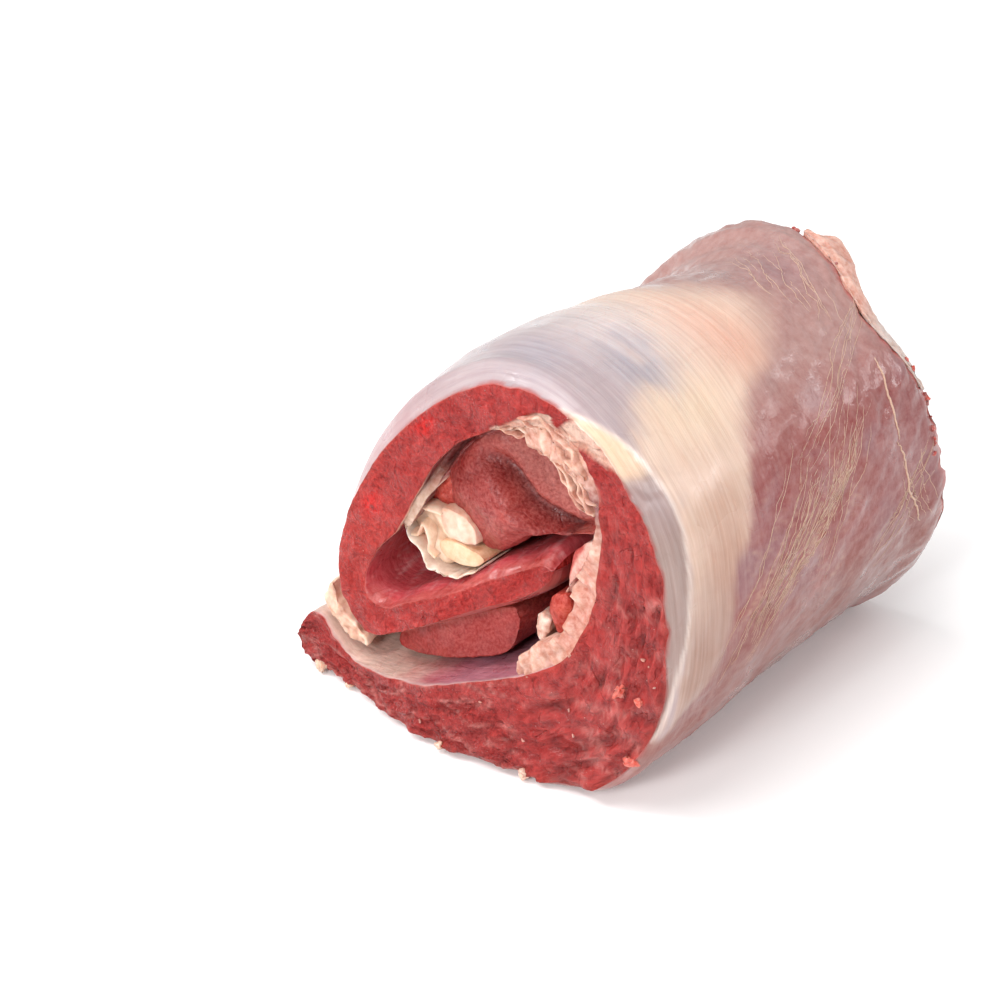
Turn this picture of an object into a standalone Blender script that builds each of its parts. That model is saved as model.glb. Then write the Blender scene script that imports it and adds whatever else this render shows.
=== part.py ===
"""Rolled raw veal flank: one thick sheet of muscle wound into a loose roll, with the
inner muscle layers and the fat seams that show between its turns.

The roll lies on a table, +Z up. Its axis runs along Y, with the cut end that shows the
scroll at -Y. Lengths in the tables are millimetres in the section frame: x across the
roll from its middle, z up from the table, y from the front cut towards the back.
"""

import math

import bpy
from mathutils import Vector, noise

MM = 0.001

# Whole roll: length at the top, middle and radius of the section, and the shift that
# brings the section frame to the middle of the object's base
ROLL_LENGTH = 160.0
ROLL_MIDDLE = (-2.0, 76.0)
ROLL_RADIUS = 75.0
SHIFT_X = 12.57
SHIFT_Y = -82.43
FLAT_CUT = 0.5

# Space between the sheet and the fat on its inner face, and the fat on its back cut
GAP = 1.0
BACK_FAT_GAP = 1.9

# Cells along the outer sheet, across its thickness and along the roll
WRAP_STEPS = 72
WRAP_LAYERS = 3
WRAP_RINGS = 10

# Outer muscle sheet, from the tail on the table, along the base, up the right side, over
# the top, down the left and in to the tongue. Each row is a point of its outer face and
# the point of its inner face across from it: x, z, x, z.
WRAP = (
    (-101, 6, -95, 23), (-92, 1, -86, 26.5), (-74, 0, -71, 16), (-52, 0, -53, 17.5),
    (-33, 0, -35.5, 22.5), (-14, 0, -17, 29.5), (8, 0, -2, 36), (29, 0, 10, 41.5),
    (45, 5, 20, 47.5), (57.5, 17.5, 28.5, 55), (66.5, 33, 34.5, 66), (72, 50, 39, 80.5),
    (74, 68, 42, 95), (73.5, 86, 43.5, 108), (70, 105, 42.5, 120), (63, 121, 39, 129),
    (52.5, 134, 34.5, 135.5), (42, 144.5, 28, 139.5), (29, 152, 20, 141), (14, 155.5, 11, 138.5),
    (-3, 153.5, 0, 134.5), (-18, 146, -10, 128.5), (-32, 135.5, -20, 121),
    (-46, 121.5, -29.5, 110), (-60.5, 103, -38.5, 94), (-71.5, 83, -47, 78),
    (-78, 64.5, -56.5, 66), (-79.5, 49, -61.5, 54.5), (-74.5, 36, -58, 48.5),
    (-63, 28.5, -48, 49), (-44, 36, -35.5, 57.5), (-25, 47.5, -22, 65.5),
    (-6, 58.5, -9, 75), (7, 66, 4, 82.5), (15, 72.5, 12.5, 88), (18.5, 79.5, 17, 87.5),
)

# Fat between the turns, against the inner face of the sheet: row of WRAP and thickness,
# from the base round to the left side.
FAT_SEAM = (
    (7.0, 2), (7.5, 6), (8.2, 7.5), (9.0, 6), (9.6, 6), (10.4, 8.5), (11.2, 9.5), (12.0, 6),
    (12.8, 3.5), (13.6, 2.5), (14.6, 4), (15.6, 7.5), (16.6, 9), (17.6, 9), (18.5, 8),
    (19.5, 6), (20.5, 4), (21.5, 3), (22.6, 2.5), (23.6, 2.5), (24.2, 2.5), (24.8, 2),
)

# Slab of inner muscle under the tongue: a point of its lower face and of its upper face.
INNER_FLAP = (
    (-60, 18, -59.5, 24), (-50, 19.5, -52, 28), (-39, 23, -42, 35), (-28, 27, -31, 42),
    (-16, 32, -19, 49), (-7, 36.5, -9, 54), (-2.5, 43.5, -4, 54.5),
)

# Closed outlines, anticlockwise, of the rolled inner muscle, of the strip of muscle on its
# right and of the cream fold of fat on its left. Each row is a point at the front and
# where it has moved to deep in the roll, where the pieces are pressed together.
CORE_OUTLINE = (
    (-30, 97, -30.5, 97), (-30.5, 88.5, -31, 88.5), (-27, 82.5, -26.5, 82),
    (-20, 77.5, -19, 76.5), (-11, 77, -11, 76), (-3, 81.5, -3, 81), (4, 88, 4, 85.5),
    (13, 93, 13, 91), (24, 97.5, 22, 97), (33.5, 102, 33, 102.5), (34.5, 107, 37.5, 107.5),
    (26, 114.5, 31, 117), (15, 119.5, 18, 124), (3, 122, 4, 125.5), (-9, 119.5, -9, 120.5),
    (-18, 112.5, -19, 113), (-25, 105, -26, 105),
)
SIDE_OUTLINE = (
    (21.3, 84, 21.3, 84), (20.8, 76, 20.8, 76), (19, 70, 18, 69.5), (15.5, 65, 8, 62.5),
    (15, 61.5, 1.5, 58), (17.5, 61, 2.5, 52.5), (20, 65, 12, 57), (21.5, 70, 20, 65),
    (24, 76, 23.5, 74), (27, 84, 27.2, 83), (30.5, 90, 31, 90), (34, 95.5, 34, 95.5),
    (31.5, 97.5, 31.5, 98), (26, 94, 26, 94.5), (22.5, 90, 22.5, 90.5),
)
FOLD_OUTLINE = (
    (-43, 75, -48.5, 72), (-40.5, 67, -54, 62), (-35.5, 62, -50, 53.5), (-29, 64, -35, 60.5),
    (-22, 68.5, -22.5, 68.3), (-20.8, 72.5, -20.8, 72), (-25.5, 76.5, -25.5, 77),
    (-29, 81, -29.5, 82), (-34, 83.5, -35, 84.5), (-40, 81.5, -41, 79),
)

# Crumpled fat in the crevice between the tail and the left side
TAIL_OUTLINE = (
    (-86, 30), (-80, 24.5), (-72, 19), (-65.5, 20.5), (-67.5, 25.5), (-75.5, 31), (-80, 38),
    (-82.5, 41), (-85, 37),
)

# Fat on the back cut: row of WRAP and thickness, from the right side to the top
BACK_FAT = (
    (14.2, 1.5), (14.8, 3), (15.6, 4.5), (16.4, 6), (17.0, 8), (17.6, 11), (18.3, 11), (18.9, 5),
)

# How far the roll stands out in two directions, as (y, millimetres): upper left, lower right
BULGES = (
    (
        (-0.61, 0.79),
        (
            (-15, -3), (0, 0), (9, 5.5), (28, 8.5), (50, 8), (72, 5), (98, -0.5), (118, -5),
            (130, -5), (140, -2), (149, 4.5), (158, 7), (170, 6.5), (185, 6),
        ),
    ),
    ((0.77, -0.63), ((-15, 0), (40, 0), (85, -2.5), (150, -2.5), (166, 0.5), (185, 0.5))),
)

# Humps of the two cuts, as height along Y, then middle x, z and reach in x, z. In front
# the base juts out and the tongue is set back. At the back the base is longest and the
# upper right is shortest.
FRONT_HUMPS = ((-12, -22, 8, 42, 40), (9, 12, 80, 24, 16))
BACK_HUMPS = ((16, 15, 10, 75, 60), (10, 80, 50, 40, 45), (-13, 47, 138, 27, 28))

# Rounding of the rim where the outer face meets the cuts
RIM_DEPTH = 3.5
RIM_REACH = 9.0

# Unevenness of the front cut: size of its humps and their height
CUT_GRAIN = 11.0
CUT_RELIEF = 1.6

# Thinnest share of a sheet's thickness at its rounded ends
TIP_SHARE = 0.4

# Rings of a lump's domed ends, as shares of its outline, and the depth behind its front
# over which it takes on its deep outline
DOME_SHARES = (0.3, 0.55, 0.78, 0.93)
DEEP_FROM = 8.0
DEEP_AT = 42.0

# Front of the inner muscle: depth and width of the fold between its two lobes, and how
# far its upper lobe is set back
FOLD_DEPTH = 4.0
FOLD_WIDTH = 4.5
UPPER_LOBE_SET = 6.0
UPPER_LOBE_BLEND = 2.5

# Fat on the back cut: nearest and farthest share of the sheet's thickness that it covers
BACK_FAT_FROM = 0.5
BACK_FAT_TO = 0.93

# Colours, linear RGB
MUSCLE_RED = (0.50, 0.060, 0.055, 1.0)
INNER_RED = (0.47, 0.085, 0.080, 1.0)
FAT_CREAM = (0.86, 0.63, 0.48, 1.0)
FAT_WHITE = (0.84, 0.66, 0.56, 1.0)


def clear_scene():
    """Empties the scene."""
    for obj in list(bpy.data.objects):
        bpy.data.objects.remove(obj)


def material(name, colour, roughness):
    """A moist, non-metallic surface of one colour."""
    made = bpy.data.materials.new(name)
    made.use_nodes = True
    shader = made.node_tree.nodes["Principled BSDF"]
    shader.inputs["Base Color"].default_value = colour
    shader.inputs["Roughness"].default_value = roughness
    shader.inputs["Metallic"].default_value = 0.0
    return made


def blend(a, b, c, d, u):
    """Catmull-Rom value between b and c."""
    return 0.5 * (
        2 * b + (c - a) * u + (2 * a - 5 * b + 4 * c - d) * u * u
        + (3 * b - a - 3 * c + d) * u ** 3
    )


def on_curve(stations, position, closed=False):
    """The station at a position counted in stations, on a smooth curve through them."""
    count = len(stations)
    first = int(math.floor(position))
    if not closed:
        first = min(first, count - 2)
    u = position - first
    rows = []
    for k in range(first - 1, first + 3):
        rows.append(stations[k % count] if closed else stations[min(max(k, 0), count - 1)])
    return [blend(*values, u) for values in zip(*rows)]


def even_steps(stations, steps, closed=False):
    """The curve's stations at steps + 1 places an equal distance apart, and its length."""
    spans = len(stations) if closed else len(stations) - 1
    fine = [on_curve(stations, spans * i / 800, closed) for i in range(801)]
    lengths = [0.0]
    for a, b in zip(fine, fine[1:]):
        lengths.append(lengths[-1] + math.dist(a, b))
    found = []
    k = 0
    for i in range(steps + 1):
        aim = lengths[-1] * i / steps
        while k < len(fine) - 2 and lengths[k + 1] < aim:
            k += 1
        share = (aim - lengths[k]) / max(lengths[k + 1] - lengths[k], 1e-9)
        found.append([p + (q - p) * share for p, q in zip(fine[k], fine[k + 1])])
    return found, lengths[-1]


def mound(x, z, middle_x, middle_z, wide, high):
    """A smooth bump of height 1 over the section."""
    return math.exp(-(((x - middle_x) / wide) ** 2) - ((z - middle_z) / high) ** 2)


def front_of(x, z):
    """Where the front cut stands."""
    return sum(high * mound(x, z, *where) for high, *where in FRONT_HUMPS)


def back_of(x, z):
    """Where the back cut stands."""
    return ROLL_LENGTH + sum(high * mound(x, z, *where) for high, *where in BACK_HUMPS)


def across(cut, row, share):
    """Where a cut stands at a share of the way from a row's inner point to its outer one."""
    return cut(row[2], row[3]) * (1 - share) + cut(row[0], row[1]) * share


def between(table, y):
    """The value of a table of (y, value) at y, with smooth steps."""
    for (y0, a), (y1, b) in zip(table, table[1:]):
        if y <= y1:
            u = min(max((y - y0) / (y1 - y0), 0.0), 1.0)
            return a + (b - a) * u * u * (3 - 2 * u)
    return table[-1][1]


def place(x, z, y):
    """The point of the object, in metres, for a point of the section frame."""
    away_x = x - ROLL_MIDDLE[0]
    away_z = z - ROLL_MIDDLE[1]
    reach = max(math.hypot(away_x, away_z), 1e-6)
    for aim, table in BULGES:
        facing = max((away_x * aim[0] + away_z * aim[1]) / reach, 0.0)
        push = between(table, y) * facing ** 2 * reach / ROLL_RADIUS
        x += push * aim[0]
        z += push * aim[1]
    z = max(z - FLAT_CUT, 0.0)
    return Vector((x + SHIFT_X, y + SHIFT_Y, z)) * MM


def along_roll(k, rings):
    """Share of the roll's length at ring k: the rings stand closer together near the cuts."""
    share = k / rings
    return share - 0.8 * math.sin(2 * math.pi * share) / (2 * math.pi)


def rough(x, y, z, size, depth):
    """Uneven relief, in millimetres, of a given grain size."""
    return depth * noise.noise(Vector((x / size, y / size, z / size)))


def make_object(name, points, faces, finish):
    """A smooth-shaded object from points in metres."""
    mesh = bpy.data.meshes.new(name)
    mesh.from_pydata(points, [], faces)
    mesh.validate()
    mesh.shade_smooth()
    mesh.set_sharp_from_angle(angle=math.radians(50))
    mesh.materials.append(finish)
    obj = bpy.data.objects.new(name, mesh)
    bpy.context.scene.collection.objects.link(obj)
    return obj


def box_surface(steps, layers, rings, point_at):
    """Points and quads of the closed surface of a bent block of steps x layers x rings cells."""
    index = {}
    points = []
    faces = []

    def corner(i, j, k):
        key = (i, j, k)
        if key not in index:
            index[key] = len(points)
            points.append(point_at(i, j, k))
        return index[key]

    def sheet(count_a, count_b, key, turned):
        for a in range(count_a):
            for b in range(count_b):
                quad = [key(a, b), key(a, b + 1), key(a + 1, b + 1), key(a + 1, b)]
                corners = [corner(*place_in_block) for place_in_block in quad]
                faces.append(corners[::-1] if turned else corners)

    for end, turned in ((0, False), (rings, True)):
        sheet(steps, layers, lambda a, b, k=end: (a, b, k), turned)
    for end, turned in ((0, True), (layers, False)):
        sheet(steps, rings, lambda a, b, j=end: (a, j, b), turned)
    for end, turned in ((0, False), (steps, True)):
        sheet(layers, rings, lambda a, b, i=end: (i, a, b), turned)
    return points, faces


def slab(name, pairs, finish, cells, sets=(0.0, 0.0), rim=0.0, relief=0.0):
    """A sheet of meat or fat between two faces, that runs the length of the roll.

    cells counts its steps, layers and rings, and sets is how far its ends stand inside
    the two cuts.
    """
    steps, layers, rings = cells
    rows, length = even_steps(pairs, steps)

    def tip(i):
        """How much of the thickness is left near the two ends of the sheet."""
        near = rows[0 if i < steps / 2 else steps]
        half = math.dist(near[:2], near[2:]) / 2
        inside = max(0.0, 1 - min(i, steps - i) * length / steps / half)
        return max(math.sqrt(1 - inside * inside), TIP_SHARE)

    def point_at(i, j, k):
        outer_x, outer_z, inner_x, inner_z = rows[i]
        thick = math.hypot(outer_x - inner_x, outer_z - inner_z)
        share = 0.5 + (j / layers - 0.5) * tip(i)
        start = across(front_of, rows[i], share) + sets[0]
        stop = across(back_of, rows[i], share) - sets[1]
        y = start + (stop - start) * along_roll(k, rings)
        if k == 0:
            y += rough(inner_x + outer_x, inner_z + outer_z, j * CUT_GRAIN, CUT_GRAIN, relief)
        from_cut = min(y - start, stop - y)
        drawn = rim * max(0.0, 1 - from_cut / RIM_REACH) ** 2
        share *= 1 - drawn / thick
        x = inner_x + (outer_x - inner_x) * share
        z = inner_z + (outer_z - inner_z) * share
        return place(x, z, y)

    return make_object(name, *box_surface(steps, layers, rings, point_at), finish)


def beside_wrap(seam):
    """Pairs of points of a layer that lies on the inner face of the outer muscle."""
    pairs = []
    for position, thick in seam:
        before = on_curve(WRAP, position - 0.1)
        after = on_curve(WRAP, position + 0.1)
        along = Vector((after[2] - before[2], after[3] - before[3])).normalized()
        inward = Vector((-along.y, along.x))
        here = Vector(on_curve(WRAP, position)[2:])
        near = here + inward * GAP
        far = near + inward * thick
        pairs.append((near.x, near.y, far.x, far.y))
    return pairs


def lump(name, outline, finish, steps, rings, sets, dome, crease=None):
    """A body of meat or fat with a closed outline, a domed front and a domed back."""
    edge, _ = even_steps([row + row[:4 - len(row)] for row in outline], steps, closed=True)
    edge = edge[:-1]
    middle = [sum(row[axis] for row in edge) / steps for axis in range(4)]
    start = front_of(*middle[:2]) + sets[0]
    stop = back_of(*middle[:2]) - sets[1]
    deep = ((start + DEEP_FROM, 0.0), (start + DEEP_AT, 1.0))

    def spot(row, share, y, depth):
        """The point at a share of the way from the middle to a row of the outline."""
        pressed = between(deep, depth)
        near = [m + (p - m) * share for m, p in zip(middle, row)]
        x = near[0] + (near[2] - near[0]) * pressed
        z = near[1] + (near[3] - near[1]) * pressed
        return place(x, z, y + (crease(x, z) if crease and share < 1 and pressed == 0 else 0.0))

    def domed(share, side):
        """The ring of points, or the single middle point, at a share of a domed end."""
        rise = dome * (1 - math.sqrt(1 - share * share))
        y = start + rise if side < 0 else stop - rise
        return [spot(row, share, y, y) for row in (edge if share else [middle])]

    rings_of_points = [domed(share, -1) for share in DOME_SHARES]
    for k in range(rings + 1):
        y = start + dome + (stop - start - 2 * dome) * along_roll(k, rings)
        rings_of_points.append([spot(row, 1.0, y, y) for row in edge])
    rings_of_points += [domed(share, 1) for share in reversed(DOME_SHARES)]
    points = domed(0.0, -1) + sum(rings_of_points, []) + domed(0.0, 1)

    faces = []
    last = 1 + (len(rings_of_points) - 1) * steps
    for m in range(steps):
        n = (m + 1) % steps
        faces.append((0, 1 + m, 1 + n))
        faces.append((last + m, len(points) - 1, last + n))
        for a in range(1, last, steps):
            faces.append((a + m, a + steps + m, a + steps + n, a + n))
    return make_object(name, points, faces, finish)


def core_crease(x, z):
    """How far the front of the inner muscle is pushed in, over its upper lobe and its fold."""
    fold_z = 112 - 0.42 * (x + 10) - 0.006 * (x + 10) ** 2
    deeper_right = min(max((x + 22) / 40, 0.0), 1.0)
    groove = FOLD_DEPTH * deeper_right * math.exp(-(((z - fold_z) / FOLD_WIDTH) ** 2))
    upper = UPPER_LOBE_SET / (1 + math.exp(-(z - fold_z) / UPPER_LOBE_BLEND))
    return groove + upper


def back_fat(finish):
    """Lumps of fat that stand on the back cut, along its upper right rim."""
    steps, layers = 24, 4
    rows, _ = even_steps(BACK_FAT, steps)

    def point_at(i, j, k):
        position, thick = rows[i]
        row = on_curve(WRAP, position)
        share = BACK_FAT_FROM + (BACK_FAT_TO - BACK_FAT_FROM) * j / layers
        x = row[2] + (row[0] - row[2]) * share
        z = row[3] + (row[1] - row[3]) * share
        domed = 0.3 + 0.7 * math.sin(math.pi * j / layers)
        y = across(back_of, row, share) + BACK_FAT_GAP + thick * domed * k
        return place(x, z, y)

    points, faces = box_surface(steps, layers, 1, point_at)
    return make_object("back_fat", points, faces, finish)


def main():
    """Builds every piece of the roll."""
    clear_scene()
    red = material("cut_muscle", MUSCLE_RED, 0.4)
    inner_red = material("inner_muscle", INNER_RED, 0.35)
    cream = material("cream_fat", FAT_CREAM, 0.4)
    white = material("white_fat", FAT_WHITE, 0.4)
    cells = (WRAP_STEPS, WRAP_LAYERS, WRAP_RINGS)
    slab("outer_muscle", WRAP, red, cells, rim=RIM_DEPTH, relief=CUT_RELIEF)
    slab("fat_seam", beside_wrap(FAT_SEAM), white, (44, 1, WRAP_RINGS), sets=(1.5, 3.0))
    slab("inner_flap", INNER_FLAP, inner_red, (12, 2, 6), sets=(18.0, 6.0))
    lump("inner_core", CORE_OUTLINE, inner_red, 34, 5, (6.0, 4.0), 6.0, core_crease)
    lump("inner_side", SIDE_OUTLINE, inner_red, 22, 5, (8.0, 6.0), 3.0)
    lump("fat_fold", FOLD_OUTLINE, cream, 16, 5, (11.0, 8.0), 3.0)
    lump("tail_fat", TAIL_OUTLINE, cream, 18, 5, (2.0, 6.0), 2.0)
    back_fat(white)


main()
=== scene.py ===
"""Looks of a raw veal flank rolled up: its cut muscle, silverskin, inner muscle and fat.

Lengths are millimetres in the section frame of the roll until they are placed: x across the
roll from its middle, z up from the table, y from the front cut towards the back.
"""

from __future__ import annotations

import logging
import math
from dataclasses import dataclass, field
from enum import Enum
from functools import partial

import bpy
import numpy as np
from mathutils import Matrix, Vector


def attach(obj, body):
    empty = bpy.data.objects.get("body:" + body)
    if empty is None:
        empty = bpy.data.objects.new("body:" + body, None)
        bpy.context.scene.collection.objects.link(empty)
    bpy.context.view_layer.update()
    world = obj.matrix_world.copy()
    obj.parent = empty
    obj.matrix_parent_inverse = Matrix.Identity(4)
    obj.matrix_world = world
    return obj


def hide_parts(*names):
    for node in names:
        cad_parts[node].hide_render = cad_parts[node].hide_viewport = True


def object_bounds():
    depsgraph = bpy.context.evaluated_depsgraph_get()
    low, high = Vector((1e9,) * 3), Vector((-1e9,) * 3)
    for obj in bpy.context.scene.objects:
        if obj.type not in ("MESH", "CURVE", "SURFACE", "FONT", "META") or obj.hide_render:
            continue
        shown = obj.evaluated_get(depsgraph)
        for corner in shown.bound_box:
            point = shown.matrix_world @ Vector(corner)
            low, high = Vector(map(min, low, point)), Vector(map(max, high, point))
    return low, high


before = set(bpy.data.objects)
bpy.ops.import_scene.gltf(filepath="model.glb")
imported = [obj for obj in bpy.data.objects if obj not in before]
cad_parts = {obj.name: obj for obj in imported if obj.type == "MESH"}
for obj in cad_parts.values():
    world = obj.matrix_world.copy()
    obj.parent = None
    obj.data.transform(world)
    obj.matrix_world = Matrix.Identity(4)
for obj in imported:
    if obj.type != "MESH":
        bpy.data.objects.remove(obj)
CAD_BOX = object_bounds()
LOG = logging.getLogger("veal_flank")

MM = 0.001
# Refraction of watery tissue, and of the film of moisture on it
TISSUE_IOR = 1.4
FILM_IOR = 1.34
Array = np.ndarray
Facts = dict[str, Array]
Places = tuple[tuple[float, float], ...]
Socket = bpy.types.NodeSocket
Settings = dict[str | int, object] | None
Links = dict[str | int, Socket] | None


class Body(Enum):
    """The bodies of the part."""

    ROLL = "root"


class Slot(Enum):
    """The record's finishes."""

    CUT_MUSCLE = "cut_muscle"
    INNER_MUSCLE = "inner_muscle"
    WHITE_FAT = "white_fat"
    CREAM_FAT = "cream_fat"


def linear(code: str) -> Array:
    """Turns an sRGB hex colour to linear RGB.

    Args:
        code: six hex digits, as in a paint chart.

    Returns:
        Three linear values.
    """
    values = np.array([int(code[k:k + 2], 16) / 255 for k in (0, 2, 4)])
    return np.where(values <= 0.04045, values / 12.92, ((values + 0.055) / 1.055) ** 2.4)


def rgba(code: str) -> tuple[float, float, float, float]:
    """Linear RGB of an sRGB hex colour, with full opacity."""
    return (*linear(code), 1.0)


def ease(low: float, high: float, value: Array) -> Array:
    """Smooth step from 0 at low to 1 at high."""
    u = np.clip((value - low) / (high - low), 0.0, 1.0)
    return u * u * (3 - 2 * u)


def near(value: Array, middle: Array | float, reach: Array | float) -> Array:
    """A smooth bump that is 1 at the middle."""
    return np.exp(-(((value - middle) / reach) ** 2))


def read_table(table: Places, at: Array) -> Array:
    """Straight-line values of a table of (place, value)."""
    return np.interp(at, [row[0] for row in table], [row[1] for row in table])


def columns(*values: Array) -> Array:
    """A row of numbers for each point."""
    return np.stack(values, axis=1)


def even_coat(code: str, places: Array | range) -> Array:
    """One sRGB hex colour as linear RGB at every place."""
    return np.tile(linear(code), (len(places), 1))


def lay_colours(colours: Array, *coats: tuple[str, Array]) -> Array:
    """Lays colours over others, one after the other.

    Args:
        colours: linear RGB, a row for each point.
        coats: sRGB hex of each colour, and how much of it covers each point, 0 to 1.

    Returns:
        The new colours.
    """
    for code, share in coats:
        cover = np.clip(share, 0.0, 1.0)[:, None]
        colours = colours * (1 - cover) + linear(code) * cover
    return colours


class Grain:
    """Repeatable gradient noise over points in millimetres."""

    def __init__(self, seed: int) -> None:
        """Draws the noise's fixed directions from a seed."""
        draw = np.random.default_rng(seed)
        self.order = np.tile(draw.permutation(256), 2)
        aims = draw.normal(size=(256, 3))
        self.aims = aims / np.linalg.norm(aims, axis=1)[:, None]

    def layer(self, points: Array) -> Array:
        """One layer of noise with cells of size 1.

        Args:
            points: a row of three numbers for each point.

        Returns:
            Values of about -0.7 to 0.7.
        """
        cell = np.floor(points).astype(int)
        inside = points - cell
        fade = inside ** 3 * (inside * (inside * 6 - 15) + 10)
        cell &= 255
        total = np.zeros(len(points))
        for corner in range(8):
            step = np.array([corner & 1, corner >> 1 & 1, corner >> 2 & 1])
            spot = (cell + step) & 255
            key = self.order[self.order[self.order[spot[:, 0]] + spot[:, 1]] + spot[:, 2]]
            weight = np.prod(np.where(step, fade, 1 - fade), axis=1)
            total += weight * np.einsum("ij,ij->i", self.aims[key], inside - step)
        return total

    def at(self, points: Array, size: float, octaves: int = 2) -> Array:
        """Noise with humps of a given size.

        Args:
            points: a row of three lengths for each point, in millimetres.
            size: size of the largest humps.
            octaves: number of layers, each half the size and height of the one before.

        Returns:
            Values of about -1 to 1.
        """
        total = np.zeros(len(points))
        for octave in range(octaves):
            scale = 2 ** octave
            total += self.layer(points * (scale / size) + 31.7 * octave) / scale
        return total * 1.4

    def ridge(self, points: Array, size: float, octaves: int = 2) -> Array:
        """Noise with sharp crests, 0 to 1."""
        return 1 - np.clip(np.abs(self.at(points, size, octaves)) * 2.2, 0, 1)


# Outer muscle sheet of the part: a point of its outer face and the point of its inner face
# across from it, from the tail on the table round the roll and in to the tongue
WRAP = np.array((
    (-101, 6, -95, 23), (-92, 1, -86, 26.5), (-74, 0, -71, 16), (-52, 0, -53, 17.5),
    (-33, 0, -35.5, 22.5), (-14, 0, -17, 29.5), (8, 0, -2, 36), (29, 0, 10, 41.5),
    (45, 5, 20, 47.5), (57.5, 17.5, 28.5, 55), (66.5, 33, 34.5, 66), (72, 50, 39, 80.5),
    (74, 68, 42, 95), (73.5, 86, 43.5, 108), (70, 105, 42.5, 120), (63, 121, 39, 129),
    (52.5, 134, 34.5, 135.5), (42, 144.5, 28, 139.5), (29, 152, 20, 141), (14, 155.5, 11, 138.5),
    (-3, 153.5, 0, 134.5), (-18, 146, -10, 128.5), (-32, 135.5, -20, 121),
    (-46, 121.5, -29.5, 110), (-60.5, 103, -38.5, 94), (-71.5, 83, -47, 78),
    (-78, 64.5, -56.5, 66), (-79.5, 49, -61.5, 54.5), (-74.5, 36, -58, 48.5),
    (-63, 28.5, -48, 49), (-44, 36, -35.5, 57.5), (-25, 47.5, -22, 65.5),
    (-6, 58.5, -9, 75), (7, 66, 4, 82.5), (15, 72.5, 12.5, 88), (18.5, 79.5, 17, 87.5),
), float)
# White fat between the turns: row of WRAP and thickness
FAT_SEAM = (
    (7.0, 2), (7.5, 6), (8.2, 7.5), (9.0, 6), (9.6, 6), (10.4, 8.5), (11.2, 9.5), (12.0, 6),
    (12.8, 3.5), (13.6, 2.5), (14.6, 4), (15.6, 7.5), (16.6, 9), (17.6, 9), (18.5, 8),
    (19.5, 6), (20.5, 4), (21.5, 3), (22.6, 2.5), (23.6, 2.5), (24.2, 2.5), (24.8, 2),
)
# Low flap of muscle: points of its lower and upper face
INNER_FLAP = np.array((
    (-60, 18, -59.5, 24), (-50, 19.5, -52, 28), (-39, 23, -42, 35), (-28, 27, -31, 42),
    (-16, 32, -19, 49), (-7, 36.5, -9, 54), (-2.5, 43.5, -4, 54.5),
), float)
# Outlines of the inner pieces: x and z in front and, where given, deep in the roll
CORE_OUTLINE = np.array((
    (-33, 98, -32, 98), (-31, 88.5, -31, 88.5), (-27, 82.5, -26.5, 82),
    (-20, 77.5, -19, 76.5), (-11, 77, -11, 76), (-3, 81.5, -3, 81), (4, 88, 4, 85.5),
    (13, 93, 13, 91), (24, 97.5, 22, 97), (33.5, 102, 33, 102.5), (35.5, 108, 37.5, 108),
    (28, 118.5, 31, 118.5), (16.5, 125, 18, 125), (3, 127, 4, 127), (-9.5, 124, -9.5, 124),
    (-19.5, 115.5, -19.5, 115), (-28, 106.5, -28, 106),
), float)
SIDE_OUTLINE = np.array((
    (21.3, 84, 21.3, 84), (20.8, 76, 20.8, 76), (19, 70, 18, 69.5), (15.5, 65, 8, 62.5),
    (15, 61.5, 1.5, 58), (17.5, 61, 2.5, 52.5), (20, 65, 12, 57), (21.5, 70, 20, 65),
    (24, 76, 23.5, 74), (27, 84, 27.2, 83), (30.5, 90, 31, 90), (34, 95.5, 34, 95.5),
    (31.5, 97.5, 31.5, 98), (26, 94, 26, 94.5), (22.5, 90, 22.5, 90.5),
), float)
FOLD_OUTLINE = np.array((
    (-43, 75, -48.5, 72), (-40.5, 67, -54, 62), (-35.5, 62, -50, 53.5), (-29, 64, -35, 60.5),
    (-22, 68.5, -22.5, 68.3), (-20.8, 72.5, -20.8, 72), (-25.5, 76.5, -25.5, 77),
    (-29, 81, -29.5, 82), (-34, 83.5, -35, 84.5), (-40, 81.5, -41, 79),
), float)
TAIL_OUTLINE = np.array((
    (-86, 30, -86, 30), (-80, 24.5, -80, 24.5), (-72, 19, -72, 19), (-65.5, 20.5, -65.5, 20.5),
    (-67.5, 25.5, -67.5, 25.5), (-75.5, 31, -75.5, 31), (-80, 38, -80, 38),
    (-82.5, 41, -82.5, 41), (-85, 37, -85, 37),
), float)
FOLD_FRONT = np.array((
    (-46.5, 79), (-44.5, 74), (-39.5, 70.5), (-36, 66.5), (-30, 65), (-22, 67), (-15.5, 71.5),
    (-15, 77), (-20, 81.5), (-27, 85), (-34, 86.5), (-41, 85),
), float)
LOBE_OUTLINE = np.array((
    (-30.5, 89), (-31, 82), (-28, 79), (-18, 78.5), (-15.5, 81), (-16.5, 86.5), (-22, 89),
), float)
PLATE_OUTLINE = np.array((
    (-32, 76), (-31.5, 71.5), (-25, 69.8), (-17, 71.6), (-11.5, 75), (-14, 77.6), (-24, 78),
), float)
TORN_OUTLINE = np.array((
    (-41.5, 87), (-39, 92.5), (-33.5, 98), (-27, 99), (-24, 93), (-27, 88), (-34, 85.5),
), float)
RED_END = np.array((
    (15.4, 71), (19, 74), (23.5, 74.5), (24.8, 69), (22.3, 59.5), (18.4, 57.6), (15, 64),
), float)
WHITE_CRUMB = np.array((
    (9.7, 61), (12.5, 63.8), (15.4, 63), (16.4, 59), (13.8, 52.5), (10.4, 53.5),
), float)
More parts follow.
